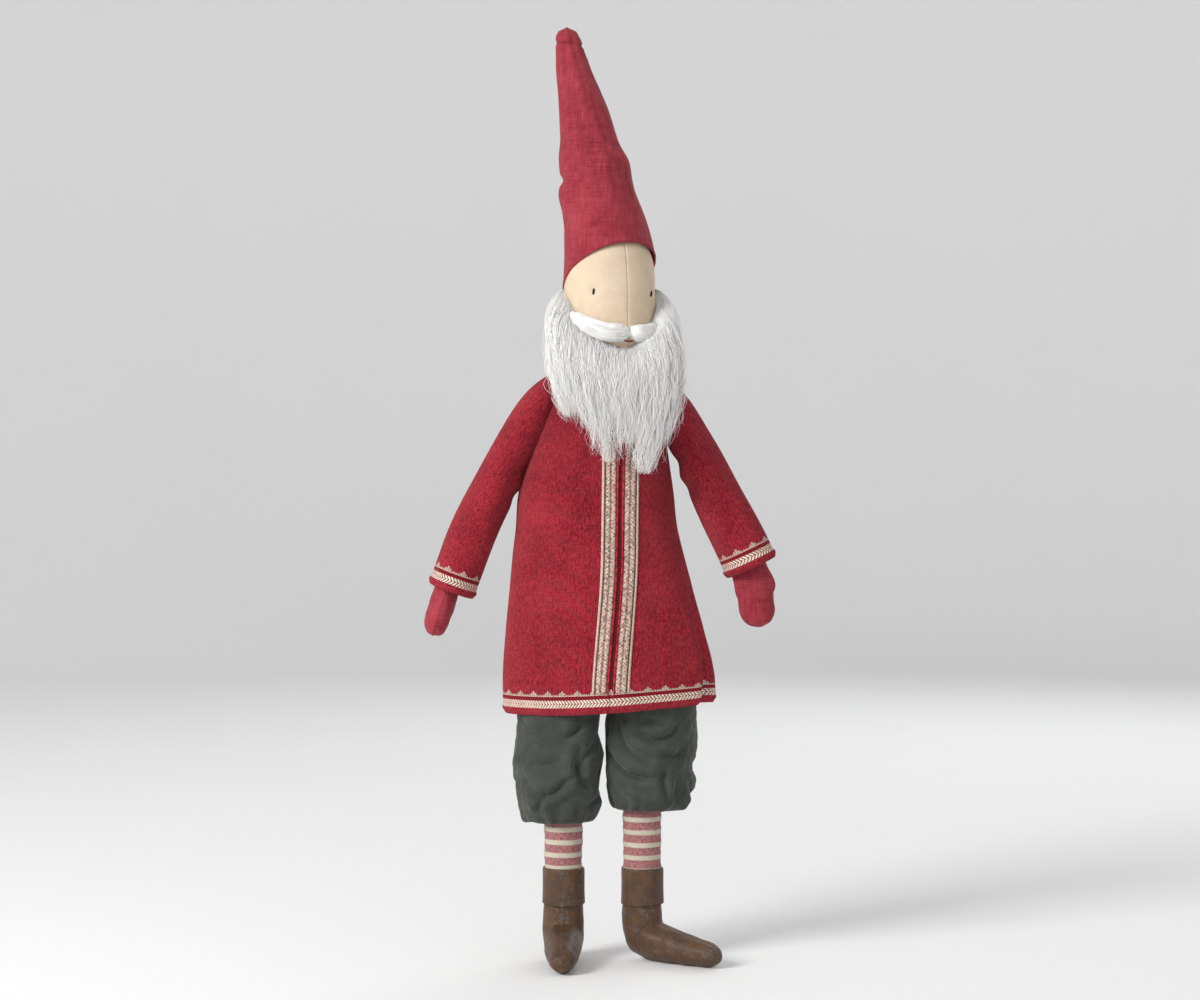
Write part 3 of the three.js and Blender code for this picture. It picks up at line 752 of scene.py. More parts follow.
def hat_folds(angle, z):
    """Dents and folds of the filled linen cone, outwards, in millimetres."""
    left, right = (turn_gap(angle, a) for a in (-1.45, 1.4))
    dent = -2.8 * hump(z, 574, 3.6) * hump(left, 0, 0.75)
    dent += 1.6 * hump(z, 562, 8) * hump(left, 0, 0.7)
    dent += -1.5 * hump(z - 8 * left, 540, 5) * hump(left, 0.35, 0.5)
    dent += -1.0 * hump(z, 603, 8) * hump(left, 0.2, 0.8)
    dent += 1.3 * hump(z, 588, 7) * hump(right, 0, 0.6)
    dent += -1.2 * hump(z, 602, 8) * hump(right, 0, 0.7)
    dent += -0.8 * hump(z, 645, 12) * hump(right, -0.2, 0.8)
    crease = np.sin(angle * 9 + z * 0.02 + np.sin(z * 0.05)) * 0.3
    crease += np.sin(angle * 17 - z * 0.03 + 1.2) * 0.22 * hump(z, 590, 40)
    slant = -1.0 * hump((z - 566) * 0.045 - turn_gap(angle, -0.5) * 1.5, 0, 0.22) * hump(z, 566, 22)
    slant += -0.8 * hump((z - 600) * 0.05 + turn_gap(angle, 0.3) * 1.6, 0, 0.25) * hump(z, 600, 22)
    return dent + slant + crease * ease(z, 500, 560)


TIP_STITCHES = {"middle_x": -23.2, "middle_y": 8, "radius": 8.9, "count": 24, "half_turn": 0.1}


def stitch_height(x):
    """The height of the slanting row of stitches near the hat's tip."""
    return 675 - 0.12 * (x + 24)


def add_hat():
    rows, around = 200, 150
    angle = np.linspace(-np.pi, np.pi, around + 1)
    edge = np.full(angle.shape, 500.0)
    for _ in range(6):
        line = section_at(HAT, edge)
        x = line[:, 0] + np.sin(angle) * line[:, 3]
        edge = hat_rim(x, line[:, 1] - np.cos(angle) * line[:, 4])
    top = HAT[-1][2]
    share = np.linspace(0, 1, rows)[:, None]
    z = edge[None, :] + (top - edge)[None, :] * np.sin(share * np.pi / 2) ** 0.9
    line = section_at(HAT, z)
    outward = np.stack([np.sin(angle) + 0 * z, -np.cos(angle) + 0 * z, 0 * z], -1)
    round_it = outward * np.stack([line[..., 3], line[..., 4], 0 * z], -1)
    points = np.stack([line[..., 0], line[..., 1], z], -1) + round_it
    stitch_line = stitch_height(points[..., 0])
    above_edge = z - edge[None, :]
    relief = hat_folds(angle[None, :], z) + 0.35 * ripple(points, 24, 3) * ease(z, 515, 550)
    relief += -1.0 * hump(z, stitch_line, 1.3) + 0.5 * hump(z, stitch_line + 4, 3)
    relief += 0.5 * hump(above_edge, 2.2, 1.8) - 0.35 * hump(above_edge, 5.2, 0.8)
    relief *= ease(top - z, 0, 5)
    points += outward * relief[..., None]
    across = run_length(points[40])[None, :] * np.sqrt(line[..., 3] / 34)
    hat = surface("hat", points, pairs(across, z - 480), "red_linen", closed=True, caps="end")
    thicken(hat, 1.1)
    settle(hat, "head", "hat_cone", "hat_stuffing", fill=0.9)
    add_tip_stitches(**TIP_STITCHES)


def add_tip_stitches(middle_x, middle_y, radius, count, half_turn):
    """A ring of short stitches, each along the hat's round."""
    steps = 5
    paths = np.zeros((count, steps, 3))
    for k in range(count):
        angles = k * TAU / count + np.linspace(-half_turn, half_turn, steps)
        x = middle_x + radius * np.sin(angles)
        lift = 0.15 - 0.7 * np.linspace(-1, 1, steps) ** 2
        paths[k, :, 0] = x + lift * np.sin(angles)
        paths[k, :, 1] = middle_y - (radius + lift) * np.cos(angles)
        paths[k, :, 2] = stitch_height(x)
    look = "dark_red_thread"
    row = strands("hat_tip_stitches", paths, np.full((count, steps), 0.25), look, slot=look)
    settle(row, "head", "hat_tip_thread")


# ---------------------------------------------------------------- head

HEAD = [
    [0, 0, 443.5, 15, 15],
    [0, -2.0, 446.5, 24, 29],
    [0, -2.8, 451, 29.4, 33.4],
    [0, -2.6, 457, 31.6, 34.6],
    [0, -1.6, 465, 32.4, 34.4],
    [0, -1, 474, 33.0, 34.4],
    [0, -0.8, 487, 33.4, 34.6],
    [0, 0, 503, 33.4, 34.2],
    [0, 0.4, 516, 31.6, 32.2],
    [0, 0.8, 527, 27.4, 27.6],
    [0, 1, 536, 19, 19],
    [0, 1, 541, 1, 1],
]
HEAD_RADIUS = 33  # turns an angle round the head into millimetres
CHIN_RADIUS = 30
EYE_TURN = np.radians(44)
EYE_HEIGHT = 489


def turn_head(points):
    """Points from the head's own coordinates, which face the front, to the doll's."""
    c, s = np.cos(FACE_TURN), np.sin(FACE_TURN)
    x, y = points[..., 0], points[..., 1]
    return np.stack([HEAD_X + c * x - s * y, s * x + c * y, points[..., 2]], -1)


def head_skin(angle, z):
    """Points on the head's cloth, in its own coordinates."""
    line = section_at(HEAD, z)
    x = line[..., 0] + np.sin(angle) * line[..., 3]
    y = line[..., 1] - np.cos(angle) * line[..., 4]
    return np.stack([x, y, np.broadcast_to(z, np.shape(x))], -1)


def around_head(angle, middle):
    """How far the columns of the head's grid lie from one at an angle, in millimetres."""
    return turn_gap(angle, middle)[None, :] * HEAD_RADIUS


def add_head():
    points, outward, angle, length = tube_grid(HEAD, 110, 200)
    z = points[..., 2]
    away, back = around_head(angle, 0), around_head(angle, np.pi)
    seam = hump(away, 0, 0.4) + hump(back, 0, 0.8)
    ridge = hump(away, 0, 2.6) + hump(back, 0, 2.6)
    pull = hump(away, 0, 4) * np.sin(z * 0.9)
    eyes = sum(hump(around_head(angle, way * EYE_TURN), 0, 3.0) for way in WAY.values())
    relief = -0.2 * seam + 0.02 * ridge + 0.08 * pull - 0.9 * eyes * hump(z, EYE_HEIGHT, 3.4)
    dimple = around_head(angle, EYE_TURN) - 0.12 * (EYE_HEIGHT - z)
    relief -= 1.2 * hump(dimple, -2.2, 1.6) * hump(z, 484, 9)
    relief += 0.3 * ripple(points, 26, 8)
    points = points + outward * relief[..., None]
    uv = tube_uv(points, length)
    rear = ease(-np.cos(angle)[None, :], -0.3, 0.6)
    tuck = 1 - np.sqrt(np.clip(1 - ((476 - np.minimum(z, 476)) / 35) ** 2, 0.1, 1))
    points[..., :2] *= (1 - rear * tuck)[..., None]
    points = turn_head(points)
    middle = len(angle) // 2
    for side, columns in (("left", slice(0, middle + 1)), ("right", slice(middle, None))):
        panel = surface(f"head_{side}_cloth", points[:, columns], uv[:, columns], "cotton_skin")
        thicken(panel, 0.9)
        settle(panel, "head", f"head_{side}_panel", fill=0.95)
    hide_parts("head_stuffing")
    add_face_seam()


def add_face_seam():
    """Small slanting stitches down the middle seam of the face."""
    heights = np.arange(457, 530, 2.1)
    share = np.linspace(-1, 1, 5)
    paths = np.zeros((len(heights), 5, 3))
    for k, z in enumerate(heights):
        paths[k] = head_skin(share * 0.55 / HEAD_RADIUS, z + share * 0.35)
        paths[k] += np.outer(0.05 - 0.5 * share**2, [0, -1, 0])
    look = "cotton_skin"
    radius = np.full(paths.shape[:2], 0.13)
    settle(strands("face_seam_stitches", turn_head(paths), radius, look, slot=look), "head")


def short_thread(name, path, radius, look, node):
    """One stitch of thick thread through a list of points in the head's coordinates."""
    steps = 24
    line = turn_head(even(path, steps))
    along = unit(np.gradient(line, axis=0))
    first = unit(np.cross(along, [0.1, 1, 0.2]))
    second = np.cross(along, first)
    turn = np.linspace(0, TAU, 13)
    taper = np.sqrt(np.clip(1 - np.linspace(-1, 1, steps) ** 6, 0.02, 1)) * radius
    round_it = np.cos(turn)[None, :, None] * first[:, None]
    round_it = round_it + np.sin(turn)[None, :, None] * second[:, None]
    grid = line[:, None] + taper[:, None, None] * round_it
    uv = pairs(turn[None, :], np.linspace(0, 6, steps)[:, None])
    settle(surface(name, grid, uv, look, closed=True, caps="start end"), "head", node)


def add_face():
    """Each eye and the mouth, a stitch that sinks into the cloth at both ends."""
    for side, way in WAY.items():
        angle = way * EYE_TURN
        heights = np.array([491.4, 490, 488, 486.4])
        lean = np.array([0.35, 0.15, -0.15, -0.35]) / HEAD_RADIUS
        away = np.array([np.sin(angle), -np.cos(angle), 0])
        lift = np.array([-0.9, 0.1, 0.1, -0.9]) - 0.9
        path = head_skin(angle + lean, heights) + lift[:, None] * away
        short_thread(f"{side}_eye_stitch", path, 0.85, "black_thread", f"{side}_eye")
    angles = np.array([-4.2, -1.6, 1.6, 4.2]) / CHIN_RADIUS
    path = head_skin(angles, np.array([453.6, 452.8, 452.8, 453.8]))
    path[:, 1] -= [-0.1, 0.9, 0.9, -0.1]
    short_thread("mouth_thread", path, 0.55, "dark_red_thread", "mouth_stitch")


# ---------------------------------------------------------------- moustache and beard


def moustache_path(way):
    """The middle line and thickness of one lock, in the head's coordinates."""
    return [
        [way * 0.5, -37.0, 460.2, 3.4, 3.2],
        [way * 6, -38.0, 458.8, 5.6, 4.6],
        [way * 15, -36.6, 458.8, 6.2, 5.4],
        [way * 24, -31.6, 461.6, 6.0, 5.4],
        [way * 31, -24.6, 466.4, 5.4, 4.8],
        [way * 35.0, -17, 471.4, 4.6, 4.2],
        [way * 36.2, -12.5, 474.4, 2.2, 2.2],
    ]


def add_moustache():
    for side, way in WAY.items():
        points, outward, angle, length = tube_grid(moustache_path(way), 60, 48, side=(0, 1, 0))
        comb = np.sin(angle * 9 + length[:, None] * 0.08) * 0.18
        comb += np.sin(angle * 17 + length[:, None] * 0.12) * 0.1
        points = points + outward * (comb + 0.3 * ripple(points, 9, 5))[..., None]
        lock = surface(f"{side}_moustache_wool", turn_head(points), tube_uv(points, length),
                       "combed_wool", closed=True, caps="start end", slot="white_wool")
        settle(lock, "head", f"{side}_moustache", fill=0.4)
        add_moustache_fibres(side, way)


def add_moustache_fibres(side, way):
    """Fibres that lie along one lock, each over a part of its length."""
    count, steps = 420, 14
    draw = np.random.default_rng(40 + way)
    turn = draw.uniform(0, TAU, count)
    first = draw.uniform(0.0, 0.45, count)
    last = np.minimum(first + draw.uniform(0.3, 0.6, count), 1.0)
    paths = np.zeros((count, steps, 3))
    for k in range(count):
        shares = np.linspace(first[k], last[k], steps)
        line = smooth(moustache_path(way), shares)
        lift = 0.15 + 0.5 * draw.uniform() * np.sin(np.linspace(0, np.pi, steps))
        wide = unit(np.cross(np.gradient(line[:, :3], axis=0), [0, 1, 0]))
        swirl = turn[k] + 0.5 * shares
        paths[k] = line[:, :3] + wide * (np.sin(swirl) * (line[:, 3] + lift))[:, None]
        paths[k, :, 1] -= np.cos(swirl) * (line[:, 4] + lift)
    radius = 0.17 * np.sin(np.linspace(0.12, np.pi - 0.12, steps))[None, :] * np.ones((count, 1))
    name = f"{side}_moustache_fibres"
    settle(strands(name, turn_head(paths), radius, "combed_wool", 6), "head")


# Lines down the middle of the beard's thickness, from the left cheek to the right one. Each is
# five places from its root to its tip.
BEARD_LINES = [
    [[-24, 5, 494], [-32, -2, 479], [-31.5, -12, 450], [-29, -28, 424], [-24, -37, 402]],
    [[-23, -12, 484], [-28, -25, 466], [-25.5, -38, 440], [-20, -46, 414], [-14, -48, 384]],
    [[-11, -26, 460], [-13, -34, 452], [-10, -44, 433], [-6, -50, 406], [-1, -50, 370]],
    [[17, -26, 444], [17, -35, 438.5], [16, -46, 425], [16, -51, 402], [18, -50, 364]],
    [[34, -20, 455], [38, -30, 448], [39, -42, 431], [38, -48, 404], [35, -49, 359]],
    [[42, -4, 480], [47, -14, 465], [49.5, -29, 441], [49.5, -40, 412], [46, -46, 369]],
    [[40, 10, 494], [47.5, 4, 480], [51, -10, 452], [52.5, -25, 424], [55, -36, 398]],
]
BEARD_THICK = [3.2, 7.6, 8.6, 7.2, 3.0]
BEARD_LOCKS = 24
# Name, number of fibres, their radius, how loose they lie, and the seed of their random draw.
BEARD_FIBRES = [
    ("beard_strands", 2950, 0.25, 0.3, 21),
    ("beard_lower_strands", 2950, 0.19, 0.6, 22),
    ("beard_fine_strands", 2950, 0.15, 1.0, 23),
    ("beard_wisps", 2800, 0.12, 1.7, 24),
]


def beard_place(across, down):
    """The beard's middle surface. across goes from cheek to cheek and down to the tips, 0 to 1."""
    across, down = np.broadcast_arrays(across, down)
    lines = smooth(BEARD_LINES, across.ravel())
    x = np.clip(down.ravel(), 0, 1.2) * 4
    i = np.clip(x.astype(int), 0, 3)
    f = (x - i)[:, None]
    rows = np.arange(len(i))
    place = catmull_rom(f, *(lines[rows, np.clip(i + k, 0, 4)] for k in (-1, 0, 1, 2)))
    return place.reshape(*across.shape, 3)


def beard_thickness(down):
    return np.interp(down, np.linspace(0, 1, len(BEARD_THICK)), BEARD_THICK)


def beard_outward(across, down):
    """The direction away from the head and chest at a place of the beard."""
    step = 0.01
    beyond, before = (beard_place(np.clip(across + s, 0, 1), down) for s in (step, -step))
    below, above = (beard_place(across, np.clip(down + s, 0, 1)) for s in (step, -step))
    return unit(np.cross(below - above, beyond - before))


def add_beard():
    rows, columns = 90, 260
    turn = np.linspace(0, TAU, columns + 1)[None, :]
    across = 0.5 - 0.5 * np.cos(turn) + 0 * np.zeros((rows, 1))
    down = np.linspace(0, 0.66, rows)[:, None] + 0 * turn
    ragged = np.abs(np.sin(across * 22 + 1)) * 0.16 + np.sin(across * 47) ** 2 * 0.10
    reach = 1 + (0.06 - ragged) * ease(down, 0.2, 0.74)
    thick = beard_thickness(down) * np.clip(8 * (0.76 - down), 0.1, 1)
    front = np.sign(np.sin(turn)) * np.abs(np.sin(turn)) ** 0.7
    locks = np.sin(across * 44 + 2.2 * np.sin(down * 4 + across * 9)) * 0.9
    locks += np.sin(across * 101 + 3 * np.sin(down * 5 + across * 17)) * 0.4
    relief = locks * ease(down, 0.12, 0.4) * (front > 0) * np.abs(front)
    place = beard_place(across, down * reach)
    outward = beard_outward(across, down * reach)
    points = place + outward * (front * thick * np.where(front > 0, 1.0, 0.35) + relief)[..., None]
    uv = np.stack([across * 120, down * 110], -1)
    core = surface("beard_wool", points, uv, "white_wool", closed=True, caps="start end")
    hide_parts("beard")
    blend_beard(core)
    for kind in BEARD_FIBRES:
        add_beard_fibres(*kind)


def add_beard_fibres(name, count, thin, loose, seed):
    """Wool fibres over the beard, gathered into locks that end at different heights."""
    shared = np.random.default_rng(20)
    lock_across = np.arange(BEARD_LOCKS) + shared.uniform(0.2, 0.8, BEARD_LOCKS)
    lock_across = lock_across / BEARD_LOCKS
    lock_wave = shared.uniform(0, TAU, BEARD_LOCKS)
    lock_end = shared.uniform(0.70, 1.10, BEARD_LOCKS)
    draw = np.random.default_rng(seed)
    steps = 12
    lock = draw.integers(0, BEARD_LOCKS, count)
    offset = draw.normal(0, 0.5 / BEARD_LOCKS + 0.006 * loose, count)
    first = draw.uniform(0.0, 0.6, count) ** (1.35 - 0.3 * loose)
    spare = draw.normal(0, 0.02 + 0.03 * loose, count)
    last = np.minimum(first + draw.uniform(0.25, 0.64, count), lock_end[lock] + spare)
    last = np.maximum(last, first + 0.12)
    t = np.linspace(0, 1, steps)[None, :]
    down = first[:, None] + (last - first)[:, None] * t
    end = lock_end[lock][:, None]
    gather = 1 - (0.9 - 0.25 * min(loose, 1.0)) * ease(down, end - 0.5, end + 0.02)
    curl = ease(down, 0.35, 1.0)
    wave = np.sin(lock_wave[lock][:, None] + down * 7) - np.sin(lock_wave[lock][:, None])
    stray = draw.normal(0, 0.014 + 0.014 * loose, (count, 1)) * (t - 0.4)
    across = lock_across[lock][:, None] + (offset[:, None] + stray) * gather
    across = np.clip(across + wave * (0.003 + 0.016 * curl), 0.0, 1.0)
    place = beard_place(across, down)
    outward = beard_outward(across, np.clip(down, 0, 0.98))
    thick = beard_thickness(down)
    level = draw.uniform(0.6, 1.05 + 0.08 * min(loose, 1.0), count)[:, None]
    low = ease(down, 0, 0.5)
    rim = np.clip(1 - (2 * across - 1) ** 6, 0.0, 1) ** 0.5
    fuzz = draw.normal(0, 1, (count, 1)) * loose * 0.9 * np.sin(t * np.pi)
    lift = thick * (level * (1 - low) + (level * 1.6 - 0.6) * low) * (0.3 + 0.7 * rim)
    beat = 17 + 16 * draw.uniform(size=(count, 1))
    phase = draw.uniform(0, TAU, (count, 2))
    curls = np.sin(down * beat + phase[:, :1])
    turns = np.cos(down * beat * 0.83 + phase[:, 1:])
    size = 0.35 + 1.7 * curl * (0.35 + loose)
    paths = place + outward * (lift + 0.4 + fuzz + 0.5 * turns * size * loose)[..., None]
    paths[..., 0] += curls * size
    paths[..., 1] -= np.abs(turns) * curl * 0.8 * (0.3 + loose)
    paths[..., 2] += turns * curl * 0.9
    shape = np.sin(np.linspace(0.25, np.pi - 0.1, steps))[None, :] ** 0.6
    radius = thin * shape * draw.uniform(0.7, 1.2, (count, 1))
    blend_beard(strands(name, paths, radius, "white_wool", seed))


def blend_beard(piece):
    """Moves the piece's placement into its points."""
    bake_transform(piece)


# ---------------------------------------------------------------- tunic

TUNIC = [
    [5, 0, 427, 38.5, 26.5],
    [3.5, 0, 412, 43.5, 31],
    [1, 0, 397, 46.6, 34],
    [-1, 0, 370, 51.5, 38],
    [-3, 0, 340, 58, 41],
    [-2, 0, 310, 61.5, 42.5],
    [1, 0, 278, 66.6, 44],
    [4.5, 0, 240, 73, 46],
    [6.5, 0, 212, 76.8, 47.6],
    [7, 0, 190, 77.4, 48.4],
    [7, 0, 184, 76.2, 47.8],
]
HEM = TUNIC[-1][2]
BORDER_TOP = HEM + 12.5  # the braids end here, above the hem's pale band
FRONT_EDGE_X = 14
EDGE_ROLL = 1.5  # radius of the knitting's rolled edge
EDGE_CURL = np.linspace(0, np.pi * 0.9, 7)[1:]


def edge_bulge(to_edge):
    """How far the knitting swells over its last five millimetres."""
    return np.sin(np.clip(to_edge / 5, 0, 1) * np.pi) * 1.1


def roll_edge(points, outward, onward):
    """The grid with the cloth beyond its last row rolled inwards."""
    rows = [
        points[-1] + outward * (EDGE_ROLL * (np.cos(c) - 1)) + onward * (EDGE_ROLL * np.sin(c))
        for c in EDGE_CURL
    ]
    return np.concatenate([points, np.stack(rows)])


def tunic_relief(angle, z):
    """Slack in the knitting, outwards, in millimetres."""
    low = 1 - ease(z, 190, 330)
    soft = np.sin(3 * angle + 0.8) * 1.3 + np.sin(5 * angle - 0.6 + z * 0.012) * 1.1
    fold = -4.4 * hump(angle, 1.16 + 0.002 * (z - 200), 0.08)
    fold += 2.0 * hump(angle, 1.0, 0.11) + 1.6 * hump(angle, 1.38, 0.12)
    fold = fold * (1 - ease(z, 215, 300))
    slack = -1.6 * hump(angle - 0.0028 * (z - 240), 0.55, 0.09) * hump(z, 235, 36)
    slack += -1.3 * hump(angle + 0.0022 * (z - 250), -0.75, 0.10) * hump(z, 245, 40)
    waist = -1.4 * hump(z, 322, 18) * (hump(angle, -1.3, 0.5) + hump(angle, 1.3, 0.5))
    hem = np.sin(9 * angle + 1.0) * 0.6 * (1 - ease(z, 184, 215))
    return soft * low + fold + slack + waist + hem


def tunic_skin(angle, z, lift=0.0):
    """Points on the outside of the tunic's body."""
    line = section_at(TUNIC, z)
    relief = tunic_relief(angle, z) + lift
    x = line[..., 0] + np.sin(angle) * (line[..., 3] + relief)
    y = -np.cos(angle) * (line[..., 4] + relief)
    return np.stack([x, y, z + 0 * x], -1)


def front_x(z):
    """How far to the right the two fronts meet at a height; the line swings left near the hem."""
    return FRONT_EDGE_X + 0.012 * (z - 290) - 5.5 * (1 - ease(z, HEM, 300))


def front_edge(z):
    """The angle at which the two fronts meet, which leans a little with the body's turn."""
    line = section_at(TUNIC, z)
    return np.arcsin(np.clip((front_x(z) - line[..., 0]) / line[..., 3], -1, 1))


def hem_lift(angle, z):
    """The hem rises to the right, and droops a little at the left of the front."""
    lift = 3.2 + 3.6 * np.sin(angle) - 1.6 * hump(angle, -0.5, 0.7) + 1.0 * hump(angle, 1.2, 0.2)
    return lift * (1 - ease(z, 186, 240))


def add_tunic():
    heights = np.linspace(426.5, HEM, 160)
    share = np.linspace(0, 1, 104)[None, :]
    z = heights[:, None] + 0 * share
    edge = front_edge(heights)[:, None]
    replaced = {"left": ("tunic_left_front",), "right": ("tunic_right_front", "tunic_back")}
    for side, way in WAY.items():
        angle = edge + (way * np.pi - edge) * share
        points = tunic_skin(angle, z, edge_bulge(z - HEM))
        points[..., 2] += hem_lift(angle, z)
        outward = unit(np.stack([np.sin(angle[-1]), -np.cos(angle[-1]), 0 * angle[-1]], -1))
        points = roll_edge(points, outward, np.array([0, 0, -1]))
        across = way * run_length(points[110]) + REPEAT / 2
        along = np.r_[heights - HEM, -EDGE_ROLL * EDGE_CURL]
        uv = pairs(across[None, :], along[:, None])
        half = surface(f"tunic_{side}_half", points, uv, "front_knit", slot="red_knit")
        thicken(half, CLOTH)
        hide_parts(*replaced[side])
        blend_tunic(half)


def blend_tunic(piece):
    """Moves the piece's placement into its points."""
    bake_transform(piece)


TRIM_WIDTH = 10.6
TRIM_START = 2.9  # from the line where the fronts meet
RIB_START = 2.1


def add_trims():
    """A marled braid and a rib beside each front edge, from the neck to the hem's border."""
    heights = np.linspace(424, BORDER_TOP, 170)
    share = np.linspace(0, 1, 23)[None, :]
    z = heights[:, None] + 0 * share
    line = section_at(TUNIC, z)
    middle = front_x(z)
    across = share * TRIM_WIDTH
    crown = 1.7 * np.sqrt(np.clip(1 - (2 * share - 1) ** 8, 0, 1))
    crown = crown - 0.7 * hump(across, 2.4, 0.5) - 0.45 * hump(across, 6.6, 0.5)
    fade = ease(z, BORDER_TOP, BORDER_TOP + 1.5)
    for side, way in WAY.items():
        x = middle + way * (TRIM_START + TRIM_WIDTH * (1 - share))
        angle = np.arcsin((x - line[..., 0]) / line[..., 3])
        points = tunic_skin(angle, z, -0.4 + (crown + 0.15 * np.sin(z * 1.16)) * fade)
        points[..., 2] += hem_lift(angle, z)
        braid = surface(f"{side}_front_braid", points, pairs(across, z), "beige_trim")
        thicken(braid, 0.8)
        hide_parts(f"{side}_front_trim")
        blend_tunic(braid)
        rib_x = middle[:, 0] + way * RIB_START
        angle = np.arcsin((rib_x - line[:, 0, 0]) / line[:, 0, 3])
        path = tunic_skin(angle, heights, 0.3)
        path[:, 2] += hem_lift(angle, heights)
        radius = np.full((1, len(heights)), 0.78)
        rib = strands(f"{side}_front_rib", path[None], radius, "plain_knit", slot="red_knit")
        blend_tunic(rib)


def add_neckband():
    z = np.array([422, 424, 426, 429, 432, 434, 434.6, 433.6, 430])
    out = np.array([-0.6, 0.9, 1.6, 1.7, 1.2, 0.4, -0.8, -2.0, -2.4])
    angle = np.linspace(-np.pi, np.pi, 121)
    half_width = 42.0 - 0.45 * (z - 424)
    half_depth = 27.4 - 0.3 * (z - 424)
    x = 5.0 + np.sin(angle)[None, :] * (half_width + out)[:, None]
    y = -np.cos(angle)[None, :] * (half_depth + out)[:, None]
    points = np.stack([x, y, np.broadcast_to(z[:, None], x.shape)], -1)
    uv = tube_uv(points, run_length(np.stack([z, out], -1)), REPEAT)
    band = surface("neckband", points, uv, "neck_zigzag", closed=True, slot="beige_trim")
    thicken(band, CLOTH)
    settle(band, "torso", "tunic_neckband")


# ---------------------------------------------------------------- sleeves and mittens

SLEEVES = {
    "left": [
        [-24, 0, 429, 4, 14],
        [-35, 0, 420, 10.6, 20.4],
        [-47, 0, 403, 15.0, 23.5],
        [-64.5, 0, 373, 16.4, 21.5],
        [-81.5, 0, 339, 16.4, 21],
        [-97, 0, 306, 17.2, 22],
        [-109.8, 0, 272.5, 18.0, 22.5],
    ],
    "right": [
        [34, 0, 428, 4, 14],
        [44, 0, 419.5, 10.4, 20.4],
        [54, 0, 403, 15.0, 23.5],
        [68, 0, 377, 16.6, 21.5],
        [84, 0, 346, 17.6, 21],
        [98.5, 0, 316, 19, 20.5],
        [110.8, 0, 289.5, 20.4, 20],
    ],
}


def sleeve_folds(side, angle, share):
    """Creases at the elbow and slack near the cuff, outwards, in millimetres."""
    inner = turn_gap(angle, -1.4 * WAY[side])
    folds = -1.8 * hump(share, 0.42, 0.035) * hump(inner, 0, 0.9)
    folds += -1.5 * hump(share, 0.55, 0.03) * hump(inner, 0.3, 0.7)
    folds += 1.2 * hump(share, 0.49, 0.03) * hump(inner, 0, 0.8)
    soft = 0.7 * np.sin(2 * angle + share * 7) + 0.5 * np.sin(3 * angle - share * 11 + 1)
    return folds + soft * ease(share, 0.1, 0.5)


def add_sleeves():
    for side, sections in SLEEVES.items():
        points, outward, angle, length = tube_grid(sections, 120, 96, side=(0, 1, 0))
        share = (length / length[-1])[:, None]
        to_edge = length[-1] - length
        relief = sleeve_folds(side, angle[None, :], share) + edge_bulge(to_edge)[:, None]
        points = points + outward * relief[..., None]
        spine = unit(np.diff([row[:3] for row in sections[-2:]], axis=0))[0]
        points = roll_edge(points, outward[-1], spine)
        uv = tube_uv(points, np.r_[to_edge, -EDGE_ROLL * EDGE_CURL], REPEAT)
        sleeve = surface(f"{side}_knit_sleeve", points, uv, "red_knit", closed=True, caps="start")
        thicken(sleeve, CLOTH)
        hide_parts(f"{side}_sleeve")
        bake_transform(sleeve)


SEAM_RIDGE = 0.7


def sewn(name, forms, look, slot, voxel, middle, normal, smoothing):
    """A stuffed form of two panels, with a seam standing up along its middle plane.

    forms has tables of sections, each with the direction that its depth is along.
    """
    made = []
    for k, (form, side) in enumerate(forms):
        grid = tube_grid(form, 40, 40, side)[0]
        made.append(surface(f"{name}_form_{k}", grid, np.zeros((40, 41, 2)), look,
                            closed=True, caps="start end", slot=slot))
    piece = joined(name, made, voxel, smoothing)
    points, outward = points_of(piece), normals_of(piece)
    normal = unit(np.asarray(normal, float))
    away = (points - middle) @ normal
    facing = np.abs(outward @ normal)
    seam = hump(away, 0, 0.9) * (1 - ease(facing, 0.5, 0.9))
    pinch = hump(away, 0, 2.6) * (1 - ease(facing, 0.5, 0.9))
    relief = SEAM_RIDGE * seam - 0.35 * pinch + 0.35 * ripple(points, 11, 7)
    points += outward * relief[:, None]
    put_points(piece, points)
    piece.data.materials.clear()
    piece.data.materials.append(LOOKS[look])
    return piece


def add_arms():
    """The stuffed arms inside the sleeves, from below the shoulder to the wrist."""
    for side, sections in SLEEVES.items():
        shoulder = np.array([sections[3][0] + WAY[side] * 4, 0, sections[3][2] + 3])
        elbow, wrist = np.array(sections[4][:3]), np.array(sections[6][:3])
        table = [
            [*shoulder, 5, 7],
            [*(shoulder + (elbow - shoulder) * 0.25), 9, 11],
            [*elbow, 9.5, 11.5],
            [*(elbow + (wrist - elbow) * 0.6), 9, 11],
            [*wrist, 8.6, 10.5],
        ]
        points, outward, _, length = tube_grid(table, 60, 48, side=(0, 1, 0))
        points = points + outward * (0.5 * ripple(points, 12, 15))[..., None]
        uv = tube_uv(points, length)
        arm = surface(f"{side}_stuffed_arm", points, uv, "cotton_skin", closed=True, caps="start end")
        settle(arm, f"{side}_arm", f"{side}_arm_casing", f"{side}_arm_stuffing", fill=0.85)


